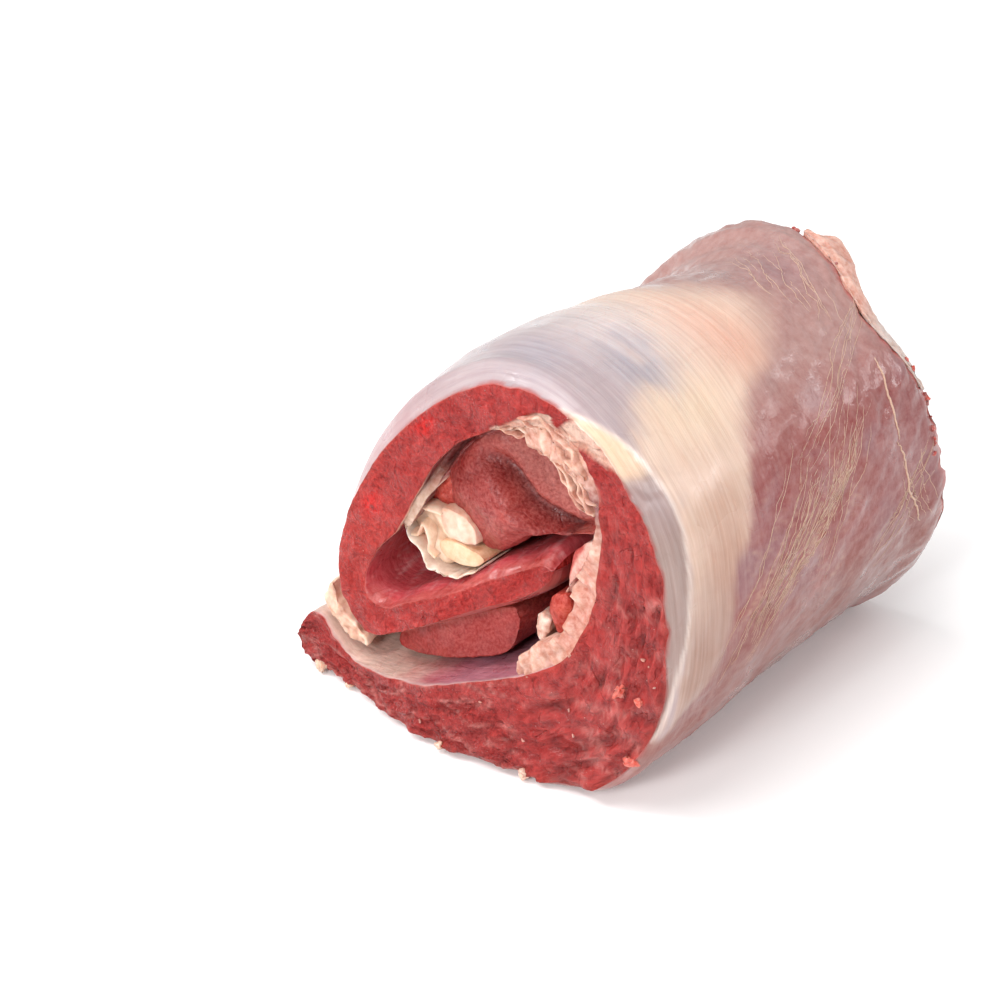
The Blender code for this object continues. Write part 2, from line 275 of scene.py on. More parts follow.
# Ruffled strips of fat over the section: x and z of places along them
FRILLS = (
    ((-6, 130.2), (-3, 130.6), (5.5, 132.2), (11.9, 132), (17, 129.4), (21.4, 126),
     (24.4, 121.5), (28.5, 116.8), (35, 112.5)),
    ((-3.2, 132.6), (5.5, 134.8), (11.9, 134.8), (17.5, 132.2), (22.6, 128.8), (26, 124.2),
     (31, 118.4), (37, 114.5)),
    ((2.5, 137), (9.7, 138), (17.4, 136.8), (22.5, 133.4), (27.6, 129), (31.5, 123.6),
     (34, 118.5), (39.5, 115)),
    ((9.7, 140.4), (17.4, 140.2), (22.5, 136.9), (27.6, 132), (32.7, 127.1), (35.8, 122.6),
     (40.5, 119)),
    ((8, 142), (13.9, 143.4), (19, 142.8), (25.5, 139.2), (31, 134.5), (36.5, 128)),
)
CURL = (
    (-30, 87), (-36, 86.8), (-42, 85.5), (-46.5, 82), (-47.5, 77.5), (-45, 74.8), (-41.5, 76),
    (-39, 80), (-36.5, 76), (-35.5, 71.5), (-32.5, 70),
)
THIN_EDGE = (
    (-46, 77), (-43.5, 73.6), (-39.5, 71.2), (-37, 67.5), (-33.5, 65.6), (-28.5, 65),
    (-22.5, 66.8), (-16.5, 70), (-12, 73.5),
)
# Bundles of tendon: row of WRAP and y of places along them
STRANDS = (
    ((11.2, 53.7), (11.9, 63.6), (12.5, 74.6), (13.3, 87.1), (14.2, 109.1)),
    ((13.8, 83), (13.2, 74), (12.2, 59), (11.3, 44)),
    ((14.1, 108), (13.3, 93), (12.6, 78), (11.8, 57)),
    ((13.8, 98), (12.9, 84), (12.2, 69), (11.2, 54)),
    ((12.9, 157), (11.8, 142), (10.9, 126)),
    ((13.0, 146), (12.2, 152), (11.5, 160)),
    ((14.3, 116), (13.6, 107), (13.0, 90)),
    ((19.6, 135), (18.4, 123), (17.5, 120)),
    ((19.2, 143), (17.7, 132), (16.5, 128)),
    ((15.0, 120), (13.9, 104), (12.8, 96), (11.6, 88)),
    ((16.8, 150), (16.2, 130), (15.2, 108), (14.4, 84)),
    ((11.2, 30), (12.4, 48), (13.6, 66), (14.6, 80)),
)
THICK_STRANDS = (
    ((15.2, 144.4), (14.3, 145.4), (13.4, 148.3)),
    ((13.3, 141.8), (12.1, 152.2), (11.0, 161.9)),
)
# Crumbs that show in the photograph: row and share of the sheet, half length, hex
CRUMBS_OF_CUT = (
    (11.47, 0.65, 1.0, "c08478"), (11.28, 0.82, 0.6, "c08478"), (11.52, 0.72, 0.5, "c08478"),
    (10.3, 0.53, 3.6, "c84836"), (10.56, 0.71, 2.2, "c8503c"), (9.32, 0.91, 3.0, "c84a38"),
    (8.25, 0.31, 1.0, "b87a70"), (8.15, 0.51, 0.8, "b87a70"), (4.32, 0.63, 0.9, "b87a70"),
    (5.79, 0.22, 0.8, "b87a70"), (6.56, 0.56, 0.8, "b87a70"), (1.3, 0.97, 3.2, "e4c0a8"),
    (2.1, 0.97, 2.2, "e4c0a8"), (4.7, 0.97, 2.2, "e0b8a4"), (6.3, 0.97, 2.4, "e0b8a4"),
)
# Fat on the back cut: row of WRAP and a value that its height grows with
BACK_FAT = (
    (14.2, 1.5), (14.8, 3), (15.6, 4.5), (16.4, 6), (17.0, 8), (17.6, 11), (18.3, 11), (18.9, 5),
)
# Swelling of the whole roll: its direction over the section, and how far it goes at each y
BULGES = (
    (
        (-0.61, 0.79),
        (
            (-15, -3), (0, 0), (9, 5.5), (28, 8.5), (50, 8), (72, 5), (98, -0.5), (118, -5),
            (130, -5), (140, -2), (149, 4.5), (158, 7), (170, 6.5), (185, 6),
        ),
    ),
    ((0.77, -0.63), ((-15, 0), (40, 0), (85, -2.5), (150, -2.5), (166, 0.5), (185, 0.5))),
)
# Humps of the two cuts: height, middle x and z, reach in x and z
FRONT_HUMPS = ((-12, -22, 8, 42, 40), (9, 12, 80, 24, 16))
BACK_HUMPS = ((16, 15, 10, 75, 60), (10, 80, 50, 40, 45), (-13, 47, 138, 27, 28))
ROLL_LENGTH = 160.0
ROLL_MIDDLE = (-2.0, 76.0)
ROLL_RADIUS = 75.0
SHIFT = (12.57, -82.43, -0.5)


def on_curve(stations: Array, position: Array, closed: bool = False) -> Array:
    """Stations at positions counted in stations, on a smooth curve through them.

    Args:
        stations: a row of numbers for each station.
        position: where to read it.
        closed: whether the last station leads to the first.

    Returns:
        A row for each position.
    """
    count = len(stations)
    position = np.asarray(position, float)
    first = np.floor(position).astype(int)
    if not closed:
        first = np.minimum(first, count - 2)
    u = (position - first)[:, None]
    rows = []
    for k in range(-1, 3):
        spot = (first + k) % count if closed else np.clip(first + k, 0, count - 1)
        rows.append(stations[spot])
    a, b, c, d = rows
    return 0.5 * (
        2 * b + (c - a) * u + (2 * a - 5 * b + 4 * c - d) * u ** 2
        + (3 * b - a - 3 * c + d) * u ** 3
    )


def even_steps(stations: Array, steps: int, closed: bool = False) -> tuple[Array, Array, float]:
    """Stations of a curve at places an equal distance apart.

    Args:
        stations: a row of numbers for each station.
        steps: number of steps along the curve.
        closed: whether the curve is a loop.

    Returns:
        The rows, their positions counted in stations, and the curve's length.
    """
    spans = len(stations) if closed else len(stations) - 1
    positions = np.linspace(0, spans, 4001)
    fine = on_curve(stations, positions, closed)
    lengths = np.concatenate([[0], np.cumsum(np.linalg.norm(np.diff(fine, axis=0), axis=1))])
    found = np.interp(np.linspace(0, lengths[-1], steps + 1), lengths, positions)
    return on_curve(stations, found, closed), found, float(lengths[-1])


def cut_stands(humps: tuple[tuple[float, ...], ...], x: Array, z: Array) -> Array:
    """How far a cut stands along the roll over the section, from its humps."""
    total = np.zeros_like(x)
    for high, middle_x, middle_z, wide, tall in humps:
        total += high * near(x, middle_x, wide) * near(z, middle_z, tall)
    return total


def steps_between(table: Places, y: Array) -> Array:
    """Values of a table of (place, value) with smooth steps."""
    places = np.array([row[0] for row in table], float)
    values = np.array([row[1] for row in table], float)
    k = np.clip(np.searchsorted(places, y) - 1, 0, len(places) - 2)
    u = np.clip((y - places[k]) / (places[k + 1] - places[k]), 0, 1)
    return values[k] + (values[k + 1] - values[k]) * u * u * (3 - 2 * u)


def place(x: Array, z: Array, y: Array) -> Array:
    """Points of the object for points of the section frame.

    Args:
        x: across the roll.
        z: up from the table.
        y: from the front cut towards the back.

    Returns:
        A row of x, y and z in millimetres for each point.
    """
    away_x, away_z = x - ROLL_MIDDLE[0], z - ROLL_MIDDLE[1]
    reach = np.maximum(np.hypot(away_x, away_z), 1e-6)
    for aim, table in BULGES:
        facing = np.maximum((away_x * aim[0] + away_z * aim[1]) / reach, 0)
        push = steps_between(table, y) * facing ** 2 * reach / ROLL_RADIUS
        x, z = x + push * aim[0], z + push * aim[1]
    z = np.maximum(z + SHIFT[2], 0)
    return columns(x + SHIFT[0], y + SHIFT[1], z)


def section_at(row: Array, share: Array) -> tuple[Array, Array]:
    """Places in the section between the inner face (share 0) and the outer face (share 1)."""
    x = row[:, 2] + (row[:, 0] - row[:, 2]) * share
    z = row[:, 3] + (row[:, 1] - row[:, 3]) * share
    return x, z


def cut_across(humps: tuple[tuple[float, ...], ...], row: Array, share: Array) -> Array:
    """How far a cut stands along the roll at places across the sheet."""
    inner = cut_stands(humps, row[:, 2], row[:, 3])
    outer = cut_stands(humps, row[:, 0], row[:, 1])
    return inner * (1 - share) + outer * share


def rounded_share(rows: Array, step: Array, layer: Array, length: float, tip_share: float) -> Array:
    """Share of the thickness at each point of a sheet whose two ends are rounded.

    Args:
        rows: stations of the sheet, one for each step.
        step: step of each point.
        layer: place of each point across the sheet, 0 to 1.
        length: of the sheet.
        tip_share: thickness left at its ends.

    Returns:
        Shares, 0 at the inner face and 1 at the outer one.
    """
    steps = len(rows) - 1
    half = np.where(
        step < steps / 2,
        math.dist(rows[0][:2], rows[0][2:]) / 2,
        math.dist(rows[-1][:2], rows[-1][2:]) / 2,
    )
    inside = np.maximum(0, 1 - np.minimum(step, steps - step) * length / steps / half)
    return 0.5 + (layer - 0.5) * np.maximum(np.sqrt(1 - inside ** 2), tip_share)


def along_roll(share: Array, bunching: float = 0.8) -> Array:
    """Share of the roll's length, with places closer together near the two cuts."""
    return share - bunching * np.sin(2 * math.pi * share) / (2 * math.pi)


def add_object(name: str, data: bpy.types.ID) -> bpy.types.Object:
    """Adds an object at the origin to the scene."""
    obj = bpy.data.objects.new(name, data)
    bpy.context.scene.collection.objects.link(obj)
    return obj


def give_values(mesh: bpy.types.Mesh, label: str, numbers: Array) -> None:
    """Gives each point of a mesh a number, or a linear colour where there are three.

    Args:
        mesh: the mesh.
        label: name of the attribute.
        numbers: one value or one row of three for each point.
    """
    kind, key = "FLOAT", "value"
    if numbers.ndim == 2:
        kind, key = "FLOAT_COLOR", "color"
        numbers = np.concatenate([numbers, np.ones((len(numbers), 1))], axis=1)
    made = mesh.attributes.new(label, kind, "POINT")
    made.data.foreach_set(key, numbers.astype(np.float32).ravel())


@dataclass
class Draft:
    """A closed surface that is being shaped.

    Attributes:
        points: places in the object frame, in millimetres.
        faces: corner numbers, in arrays of three or four columns.
        tint: linear RGB for each point.
        flow: length along the piece and along the roll for each point, in millimetres.
        finish_of: number of the finish of each face.
        comb: how strongly the pattern follows the flow at each point, 0 to 1.
    """

    points: Array
    faces: list[Array]
    tint: Array
    flow: Array
    finish_of: Array
    comb: Array | None = None

    def volume(self) -> float:
        """Signed volume: positive where the faces point outwards."""
        total = 0.0
        for group in self.faces:
            for k in range(1, group.shape[1] - 1):
                a, b, c = (self.points[group[:, n]] for n in (0, k, k + 1))
                total += np.einsum("ij,ij->", a, np.cross(b, c))
        return total

    def face_out(self) -> None:
        """Turns every face round if the surface is inside out."""
        if self.volume() < 0:
            self.faces = [group[:, ::-1] for group in self.faces]

    def normals(self) -> Array:
        """Unit normals of the points."""
        total = np.zeros_like(self.points)
        for group in self.faces:
            corners = self.points[group]
            last = group.shape[1] - 1
            area = np.cross(corners[:, 2] - corners[:, 0], corners[:, last] - corners[:, 1])
            for k in range(group.shape[1]):
                for axis in range(3):
                    total[:, axis] += np.bincount(group[:, k], area[:, axis], len(total))
        return total / np.maximum(np.linalg.norm(total, axis=1), 1e-9)[:, None]

    def push(self, height: Array) -> None:
        """Moves each point out along its normal, in millimetres."""
        self.points = self.points + self.normals() * height[:, None]

    def keep_in_box(self) -> None:
        """Keeps every point inside the box of the part."""
        low, high = CAD_BOX
        self.points = np.clip(self.points, np.array(low) / MM, np.array(high) / MM)

    def to_object(self, name: str, finishes: list[bpy.types.Material]) -> bpy.types.Object:
        """Makes the Blender object.

        Args:
            name: the piece's name.
            finishes: materials in the order of their numbers.

        Returns:
            A smooth-shaded mesh object at the origin.
        """
        mesh = bpy.data.meshes.new(name)
        faces = [row for group in self.faces for row in group.tolist()]
        mesh.from_pydata((self.points * MM).tolist(), [], faces)
        for made in finishes:
            mesh.materials.append(made)
        mesh.polygons.foreach_set("material_index", self.finish_of.astype(np.int32))
        mesh.shade_smooth()
        give_values(mesh, "tint", self.tint)
        if self.comb is not None:
            give_values(mesh, "comb", self.comb)
        corners = np.empty(len(mesh.loops), np.int32)
        mesh.loops.foreach_get("vertex_index", corners)
        layer = mesh.uv_layers.new(name="flow")
        layer.data.foreach_set("uv", (self.flow[corners] * MM * 10).astype(np.float32).ravel())
        mesh.update()
        return add_object(name, mesh)


def draft_of(x: Array, z: Array, y: Array, faces: list[Array], length: Array) -> Draft:
    """Starts a surface from points of the section frame.

    Args:
        x: across the roll.
        z: up from the table.
        y: from the front cut towards the back.
        faces: corner numbers, in arrays of three or four columns.
        length: place along the piece for each point, in millimetres.

    Returns:
        The surface with its faces outwards, with one finish and no colours yet.
    """
    draft = Draft(
        place(x, z, y), faces, np.zeros((len(x), 3)), columns(length, y),
        np.zeros(sum(map(len, faces)), int),
    )
    draft.face_out()
    return draft


def block_surface(steps: int, layers: int, rings: int) -> tuple[Array, Array]:
    """Grid places and quads of the closed surface of a bent block.

    Args:
        steps: cells along the sheet.
        layers: cells across its thickness.
        rings: cells along the roll.

    Returns:
        Whole numbers (step, layer, ring) for each point, and four corners for each quad.
    """
    grid = np.indices((steps + 1, layers + 1, rings + 1))
    ends = [np.isin(grid[axis], (0, size)) for axis, size in enumerate((steps, layers, rings))]
    skin = ends[0] | ends[1] | ends[2]
    number = np.full(skin.shape, -1)
    number[skin] = np.arange(skin.sum())
    quads = []
    for axis in range(3):
        for end in (0, -1):
            plane = number.take(end, axis=axis)
            quad = np.stack(
                [plane[:-1, :-1], plane[1:, :-1], plane[1:, 1:], plane[:-1, 1:]], axis=-1
            ).reshape(-1, 4)
            turned = (end == 0) != (axis == 1)
            quads.append(quad[:, ::-1] if turned else quad)
    return np.stack([grid[axis][skin] for axis in range(3)], axis=1), np.concatenate(quads)


def add_node(
    tree: bpy.types.NodeTree,
    kind: str,
    settings: Settings = None,
    links: Links = None,
) -> bpy.types.Node:
    """Adds a node to a tree.

    Args:
        tree: the tree that takes it.
        kind: the node's type name.
        settings: values by socket or by property name, or by socket number.
        links: sockets of other nodes that lead to its inputs.

    Returns:
        The new node.
    """
    node = tree.nodes.new(kind)
    for key, value in (settings or {}).items():
        if isinstance(key, str) and hasattr(node, key):
            setattr(node, key, value)
        else:
            node.inputs[key].default_value = value
    for key, source in (links or {}).items():
        tree.links.new(source, node.inputs[key])
    return node


@dataclass(frozen=True)
class MoistTissue:
    """A raw, moist tissue whose ground colour is painted point by point.

    Attributes:
        name: what the real surface is.
        dark: hex that the hollows of its pattern are multiplied by.
        light: hex of the crests of its pattern.
        grain: size of the pattern's spots, in millimetres.
        contrast: how strongly the pattern shows.
        relief: height of the fine relief, in millimetres.
        lobe: size of the soft lobes that fine creases part, in millimetres.
        creases: how dark the painted shade in those creases is, and how deep they are.
        roughness: of the surface under its film of moisture.
        film: share of the surface under a film of moisture.
        film_roughness: of that film.
        depth: how far light spreads inside, in millimetres.
        spread: share of each colour that travels that far.
        inside: share of the light that goes through the inside.
        stretch: how many times longer the spots are where the piece is combed.
        fibre: width of the spots there, in millimetres.
        shine: strength of the reflection of the tissue itself.
    """

    name: str
    dark: str
    light: str
    grain: float
    contrast: float
    relief: float
    lobe: float
    creases: float
    roughness: float
    film: float
    film_roughness: float
    depth: float
    spread: tuple[float, float, float]
    inside: float
    stretch: float = 0.0
    fibre: float = 2.0
    shine: float = 0.35

    def make(self) -> bpy.types.Material:
        """Builds the material.

        Returns:
            A material that reads the piece's tint and, where it is combed, its flow.
        """
        made = bpy.data.materials.new(self.name)
        made.use_nodes = True
        tree = made.node_tree
        add = partial(add_node, tree)
        shader = tree.nodes["Principled BSDF"]
        tint = add("ShaderNodeAttribute", {"attribute_name": "tint"})
        spot = add("ShaderNodeTexCoord").outputs["Object"]
        solid = add(
            "ShaderNodeTexNoise",
            {"Scale": 1000 / self.grain, "Detail": 3.0, "Roughness": 0.62}, {"Vector": spot},
        )
        height = solid.outputs["Fac"]
        if self.stretch:
            height = self.combed(tree, height)
        patches = add(
            "ShaderNodeTexNoise",
            {"Scale": 1000 / (self.grain * 6), "Detail": 2.0}, {"Vector": spot},
        )
        veins = add(
            "ShaderNodeTexNoise",
            {"Scale": 1000 / self.lobe, "Detail": 2.0, "Distortion": 0.6}, {"Vector": spot},
        )
        middle = add("ShaderNodeMath", {"operation": "SUBTRACT", 1: 0.5}, {0: veins.outputs["Fac"]})
        away = add("ShaderNodeMath", {"operation": "ABSOLUTE"}, {0: middle.outputs[0]})
        crease = add(
            "ShaderNodeMapRange",
            {"interpolation_type": "SMOOTHSTEP", "From Min": 0.0, "From Max": 0.035},
            {"Value": away.outputs[0]},
        )
        level = add("ShaderNodeMapRange", {"From Min": 0.34, "From Max": 0.66}, {"Value": height})
        hollow = add(
            "ShaderNodeMix",
            {"data_type": "RGBA", "blend_type": "MULTIPLY", 0: self.contrast, 7: rgba(self.dark)},
            {6: tint.outputs["Color"]},
        )
        crest = add(
            "ShaderNodeMix",
            {"data_type": "RGBA", 0: self.contrast * 0.5, 7: rgba(self.light)},
            {6: tint.outputs["Color"]},
        )
        mottle = add(
            "ShaderNodeMix", {"data_type": "RGBA"},
            {0: level.outputs[0], 6: hollow.outputs[2], 7: crest.outputs[2]},
        )
        # Painted shade: the fine creases darken the colour, as much as creases says
        shade = add(
            "ShaderNodeMapRange",
            {"From Min": 0.0, "From Max": 1.0, "To Min": self.creases, "To Max": 0.0},
            {"Value": crease.outputs[0]},
        )
        colour = add(
            "ShaderNodeMix",
            {"data_type": "RGBA", "blend_type": "MULTIPLY", 7: rgba(self.dark)},
            {0: shade.outputs[0], 6: mottle.outputs[2]},
        )
        soft = add(
            "ShaderNodeBump",
            {"Strength": 0.7, "Distance": self.relief * self.creases * 2 * MM},
            {"Height": crease.outputs[0]},
        )
        bump = add(
            "ShaderNodeBump", {"Strength": 1.0, "Distance": self.relief * MM},
            {"Height": height, "Normal": soft.outputs["Normal"]},
        )
        rough = add(
            "ShaderNodeMapRange",
            {"From Min": 0.35, "From Max": 0.65, "To Min": self.roughness + 0.12,
             "To Max": self.roughness - 0.12},
            {"Value": patches.outputs["Fac"]},
        )
        wet = add(
            "ShaderNodeMapRange",
            {"From Min": 0.4, "From Max": 0.62, "To Min": self.film * 0.35, "To Max": self.film},
            {"Value": patches.outputs["Fac"]},
        )
        for name, source in {
            "Base Color": colour.outputs[2], "Normal": bump.outputs["Normal"],
            "Coat Normal": bump.outputs["Normal"], "Roughness": rough.outputs[0],
            "Coat Weight": wet.outputs[0],
        }.items():
            tree.links.new(source, shader.inputs[name])
        for name, value in {
            "IOR": TISSUE_IOR, "Specular IOR Level": self.shine, "Subsurface Weight": self.inside,
            "Subsurface Radius": self.spread, "Subsurface Scale": self.depth * MM,
            "Coat Roughness": self.film_roughness, "Coat IOR": FILM_IOR,
        }.items():
            shader.inputs[name].default_value = value
        return made

    def combed(self, tree: bpy.types.NodeTree, solid: Socket) -> Socket:
        """Mixes in fibres along the piece, as strong as its comb says.

        Args:
            tree: the material's nodes.
            solid: the pattern without a direction.

        Returns:
            The pattern with its fibres.
        """
        add = partial(add_node, tree)
        flow = add("ShaderNodeUVMap", {"uv_map": "flow"})
        comb = add("ShaderNodeAttribute", {"attribute_name": "comb"})
        # The flow map counts in units of 100 mm, so a pattern of size g repeats 100 / g times
        stretched = add(
            "ShaderNodeVectorMath",
            {"operation": "MULTIPLY", 1: (1 / self.stretch, 1.0, 1.0)}, {0: flow.outputs["UV"]},
        )
        along = add(
            "ShaderNodeTexNoise",
            {"Scale": 100 / self.fibre, "Detail": 4.0, "Roughness": 0.62},
            {"Vector": stretched.outputs[0]},
        )
        mixed = add(
            "ShaderNodeMix", {"data_type": "FLOAT"},
            {0: comb.outputs["Fac"], 2: solid, 3: along.outputs["Fac"]},
        )
        return mixed.outputs[0]


# Raw lean veal, cut across its fibres with a knife: bundles about 1.3 mm wide make a fine
# wet grain of darker and paler red, with a few fine creases and small glints
CUT_VEAL = MoistTissue(
    "raw_veal_cut", dark="7a2422", light="ca544c",
    grain=1.5, contrast=0.6, relief=1.9, lobe=15.0, creases=0.12, roughness=0.4, film=0.65,
    film_roughness=0.1, depth=1.6, spread=(1.0, 0.2, 0.15), inside=0.12, stretch=3.2, fibre=3.4,
    shine=0.15,
)
# Silverskin over the muscle: a thin tough film with fibres that run round the roll, which
# gives fine streaks and a wet gloss
SILVERSKIN = MoistTissue(
    "silverskin", dark="b8908c", light="f8ece4",
    grain=3.4, contrast=0.18, relief=0.28, lobe=26.0, creases=0.05, roughness=0.36, film=0.8,
    film_roughness=0.12, depth=2.5, spread=(1.0, 0.5, 0.36), inside=0.2, stretch=26.0, fibre=1.5,
    shine=0.45,
)
# Inner side of the sheet, peeled from its fat: a bare reddish film with pale streaks
INNER_FILM = MoistTissue(
    "peeled_muscle_film", dark="9c4e54", light="e0a8a4",
    grain=2.0, contrast=0.4, relief=0.4, lobe=18.0, creases=0.12, roughness=0.36, film=0.6,
    film_roughness=0.16, depth=2.0, spread=(1.0, 0.3, 0.22), inside=0.2, stretch=9.0, fibre=1.8,
    shine=0.3,
)
# Whole muscle under its own film: soft, fine-grained and satiny, in small lobes
INNER_VEAL = MoistTissue(
    "raw_veal_muscle", dark="9a4642", light="dc948a",
    grain=1.2, contrast=0.36, relief=0.35, lobe=13.0, creases=0.16, roughness=0.42, film=0.5,
    film_roughness=0.18, depth=2.0, spread=(1.0, 0.28, 0.2), inside=0.2,
    shine=0.25,
)
# Fat between muscles, cut and torn: firm, waxy and pinkish white
SEAM_FAT = MoistTissue(
    "veal_seam_fat", dark="d0a490", light="fff6ee",
    grain=2.2, contrast=0.35, relief=0.2, lobe=10.0, creases=0.14, roughness=0.42, film=0.4,
    film_roughness=0.2, depth=3.0, spread=(1.0, 0.6, 0.42), inside=0.35,
    shine=0.35,
)
# Softer cream fat with a shiny skin
FOLD_FAT = MoistTissue(
    "veal_cream_fat", dark="c8a078", light="fff6e4",
    grain=3.0, contrast=0.25, relief=0.12, lobe=12.0, creases=0.08, roughness=0.36, film=0.5,
    film_roughness=0.16, depth=3.5, spread=(1.0, 0.62, 0.4), inside=0.35,
    shine=0.4,
)
# Tendon: dry straw-coloured fibres that lie on the silverskin
TENDON = MoistTissue(
    "veal_tendon", dark="c0a080", light="f6e8d0",
    grain=1.0, contrast=0.2, relief=0.1, lobe=8.0, creases=0.05, roughness=0.4, film=0.4,
    film_roughness=0.2, depth=1.0, spread=(1.0, 0.6, 0.4), inside=0.2,
)


def hang(obj: bpy.types.Object, node: str) -> bpy.types.Object:
    """Makes a piece ride on the roll in place of a node of the part.

    Args:
        obj: the finished piece.
        node: the node that it stands for.

    Returns:
        The same piece.
    """
    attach(obj, Body.ROLL.value)
    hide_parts(node)
    LOG.info("%s: %d faces", obj.name, len(obj.data.polygons))
    return obj


@dataclass
class Piece:
    """A piece of the roll that stands for a node of the part.

    Attributes:
        name: the piece's name.
        node: the node of the part that it stands for.
        slot: the record's finish; not used.
    """

    name: str
    node: str
    slot: Slot

    def put_in(self, draft: Draft, *finishes: MoistTissue) -> bpy.types.Object:
        """Makes the object of a shaped and painted surface and puts it in the roll.

        Args:
            draft: the surface.
            finishes: in the order of their numbers.

        Returns:
            The finished piece.
        """
        draft.keep_in_box()
        made = [finish.make() for finish in finishes]
        return hang(draft.to_object(self.name, made), self.node)


@dataclass
class OuterMuscle(Piece):
    """The thick sheet of muscle that is wound into the roll.

    Attributes:
        steps: cells along the sheet.
        layers: cells across its thickness.
        rings: cells along the roll.
        rim_depth: how far the outer face is drawn in at the cuts.
        rim_reach: how far from the cuts that begins.
        relief_reach: how deep the relief of the cuts reaches.
        tip_share: thickness left at the sheet's rounded ends.
        grain: noise of its shape and colours.
        upper_lip: inner edge of the red cut where fat climbs into it: row, share.
        right_tip: where the red cut begins again: share, row.
        band_border: back border of the cream band: row, y.
        band_front: front border of the cream band: row, y.
        skin_edge: edge of the thin skin beside the front cut: row, y.
        blood: row, share and size of the blood spots of the cut.
    """

    steps: int = 430
    layers: int = 24
    rings: int = 84
    rim_depth: float = 3.5
    rim_reach: float = 9.0
    relief_reach: float = 2.2
    tip_share: float = 0.4
    grain: Grain = field(default_factory=lambda: Grain(11))
    upper_lip: tuple = (
        (17.6, 0.16), (18.0, 0.33), (18.33, 0.63), (18.75, 0.48), (19.24, 0.23), (19.97, 0.05),
        (21.0, 0.0),
    )
    right_tip: tuple = ((0.0, 15.8), (0.24, 16.68), (0.5, 16.4), (0.75, 16.12), (1.0, 16.1))
    band_border: tuple = (
        (9.8, 0), (10.6, 8.5), (11.1, 24.5), (12.2, 34.4), (13.2, 34.6), (13.8, 45), (14.3, 50),
        (15.3, 57), (16.1, 68), (16.6, 86), (17.3, 98), (18.1, 104), (18.9, 96), (19.6, 88),
        (20.5, 80), (22, 78), (26, 74),
    )
    band_front: tuple = (
        (9, 2), (12, 8), (14, 12), (15.5, 13), (16.3, 12), (17.2, 20), (18, 44), (19, 54),
        (20.5, 56), (23, 58),
    )
    skin_edge: tuple = (
        (9.8, 0), (10.6, 2.2), (11.8, 4.9), (12.9, 9.6), (13.8, 12.1), (14.6, 14.5), (15.3, 14),
        (16.1, 11.8), (16.9, 7.4), (17.8, 1.7), (18.3, 0),
    )
    blood: tuple = ((22.47, 0.76, 2.9), (24.84, 0.63, 2.7))

    def shape(self) -> tuple[Draft, Facts]:
        """Bends the block along the sheet and cuts its two ends.

        Returns:
            The surface, and for its points the row, share, place in the section and distances
            from the two cuts.
        """
        rows, positions, length = even_steps(WRAP, self.steps)
        cells, quads = block_surface(self.steps, self.layers, self.rings)
        i, j, k = cells.T
        row = rows[i]
        share = rounded_share(rows, i, j / self.layers, length, self.tip_share)
        thick = np.hypot(row[:, 0] - row[:, 2], row[:, 1] - row[:, 3])
        start = cut_across(FRONT_HUMPS, row, share)
        stop = cut_across(BACK_HUMPS, row, share) + ROLL_LENGTH
        y = start + (stop - start) * along_roll(k / self.rings, 0.55)
        x, z = section_at(row, share)
        facts = {
            "row": positions[i], "share": share, "x": x, "z": z, "y": y,
            "front": y - start, "back": stop - y, "length": i * length / self.steps,
            "outer": (j == self.layers), "inner": (j == 0), "thick": thick,
            "cut": (k == 0) | (k == self.rings), "spot": columns(x, z, y),
        }
        facts["fat"] = self.fat_on_cut(facts)
        facts["relief"] = self.cut_relief(facts)
        y = y + facts["relief"] * np.exp(-facts["front"] / self.relief_reach)
        y = y - self.back_relief(facts) * np.exp(-facts["back"] / self.relief_reach)
        share = share + self.drawn_in(facts) / thick
        x, z = section_at(row, share)
        draft = draft_of(x, z, y, [quads], facts["length"])
        draft.flow[:, 1] = np.where(facts["cut"], share * thick, y)
        draft.finish_of = self.finish_of(cells, quads)
        return draft, facts

    def drawn_in(self, facts: Facts) -> Array:
        """How far points near the cuts move across the sheet, out being positive.

        The outer rim is rounded all round, and the inner rim of the tongue in front too.
        """
        row, share = facts["row"], facts["share"]
        sharp_corner = 1 - 0.75 * near(row, 11.2, 1.6) - 0.4 * near(row, 16.8, 2.2)
        front = np.maximum(0, 1 - facts["front"] / self.rim_reach) ** 2
        back = np.maximum(0, 1 - facts["back"] / self.rim_reach) ** 2 * sharp_corner
        drawn = -self.rim_depth * np.maximum(front, back) * share
        tongue = ease(26.6, 28.6, row) * np.maximum(0, 1 - facts["front"] / 11.0) ** 2
        return drawn + 5.0 * tongue * (1 - share)

    def finish_of(self, cells: Array, quads: Array) -> Array:
        """Number of the finish of each quad: 0 cut, 1 outer skin, 2 inner film."""
        corners = cells[quads]
        found = np.zeros(len(quads), int)
        found[(corners[:, :, 1] == self.layers).all(axis=1)] = 1
        found[(corners[:, :, 1] == 0).all(axis=1)] = 2
        return found

    def fat_on_cut(self, facts: Facts) -> Array:
        """Where fat crosses the front cut at the upper right, 0 to 1."""
        spot = facts["spot"]
        row = facts["row"] + 0.10 * self.grain.at(spot, 4.0)
        share = facts["share"] + 0.05 * self.grain.at(spot + 50, 5.0)
        lip = read_table(self.upper_lip, row)
        upper = ease(17.68, 17.82, row) * ease(-0.06, 0.06, share - lip)
        right = ease(-0.08, 0.08, read_table(self.right_tip, share) - row)
        low_right = ease(-0.05, 0.04, share - 0.03)
        return np.clip(1 - upper - right * low_right, 0, 1) * ease(14.0, 15.2, row) * (row < 20.5)

    def along_cut(self, facts: Facts, longer: float) -> Array:
        """Coordinates in which noise on the cut is stretched along the sheet.

        Args:
            facts: about the points.
            longer: how many times.

        Returns:
            A row for each point.
        """
        across = facts["share"] * facts["thick"]
        slant = facts["length"] + 0.5 * across
        bend = 2.5 * self.grain.at(facts["spot"] + 15, 16.0)
        return columns(slant / longer, across + bend, 0 * across)

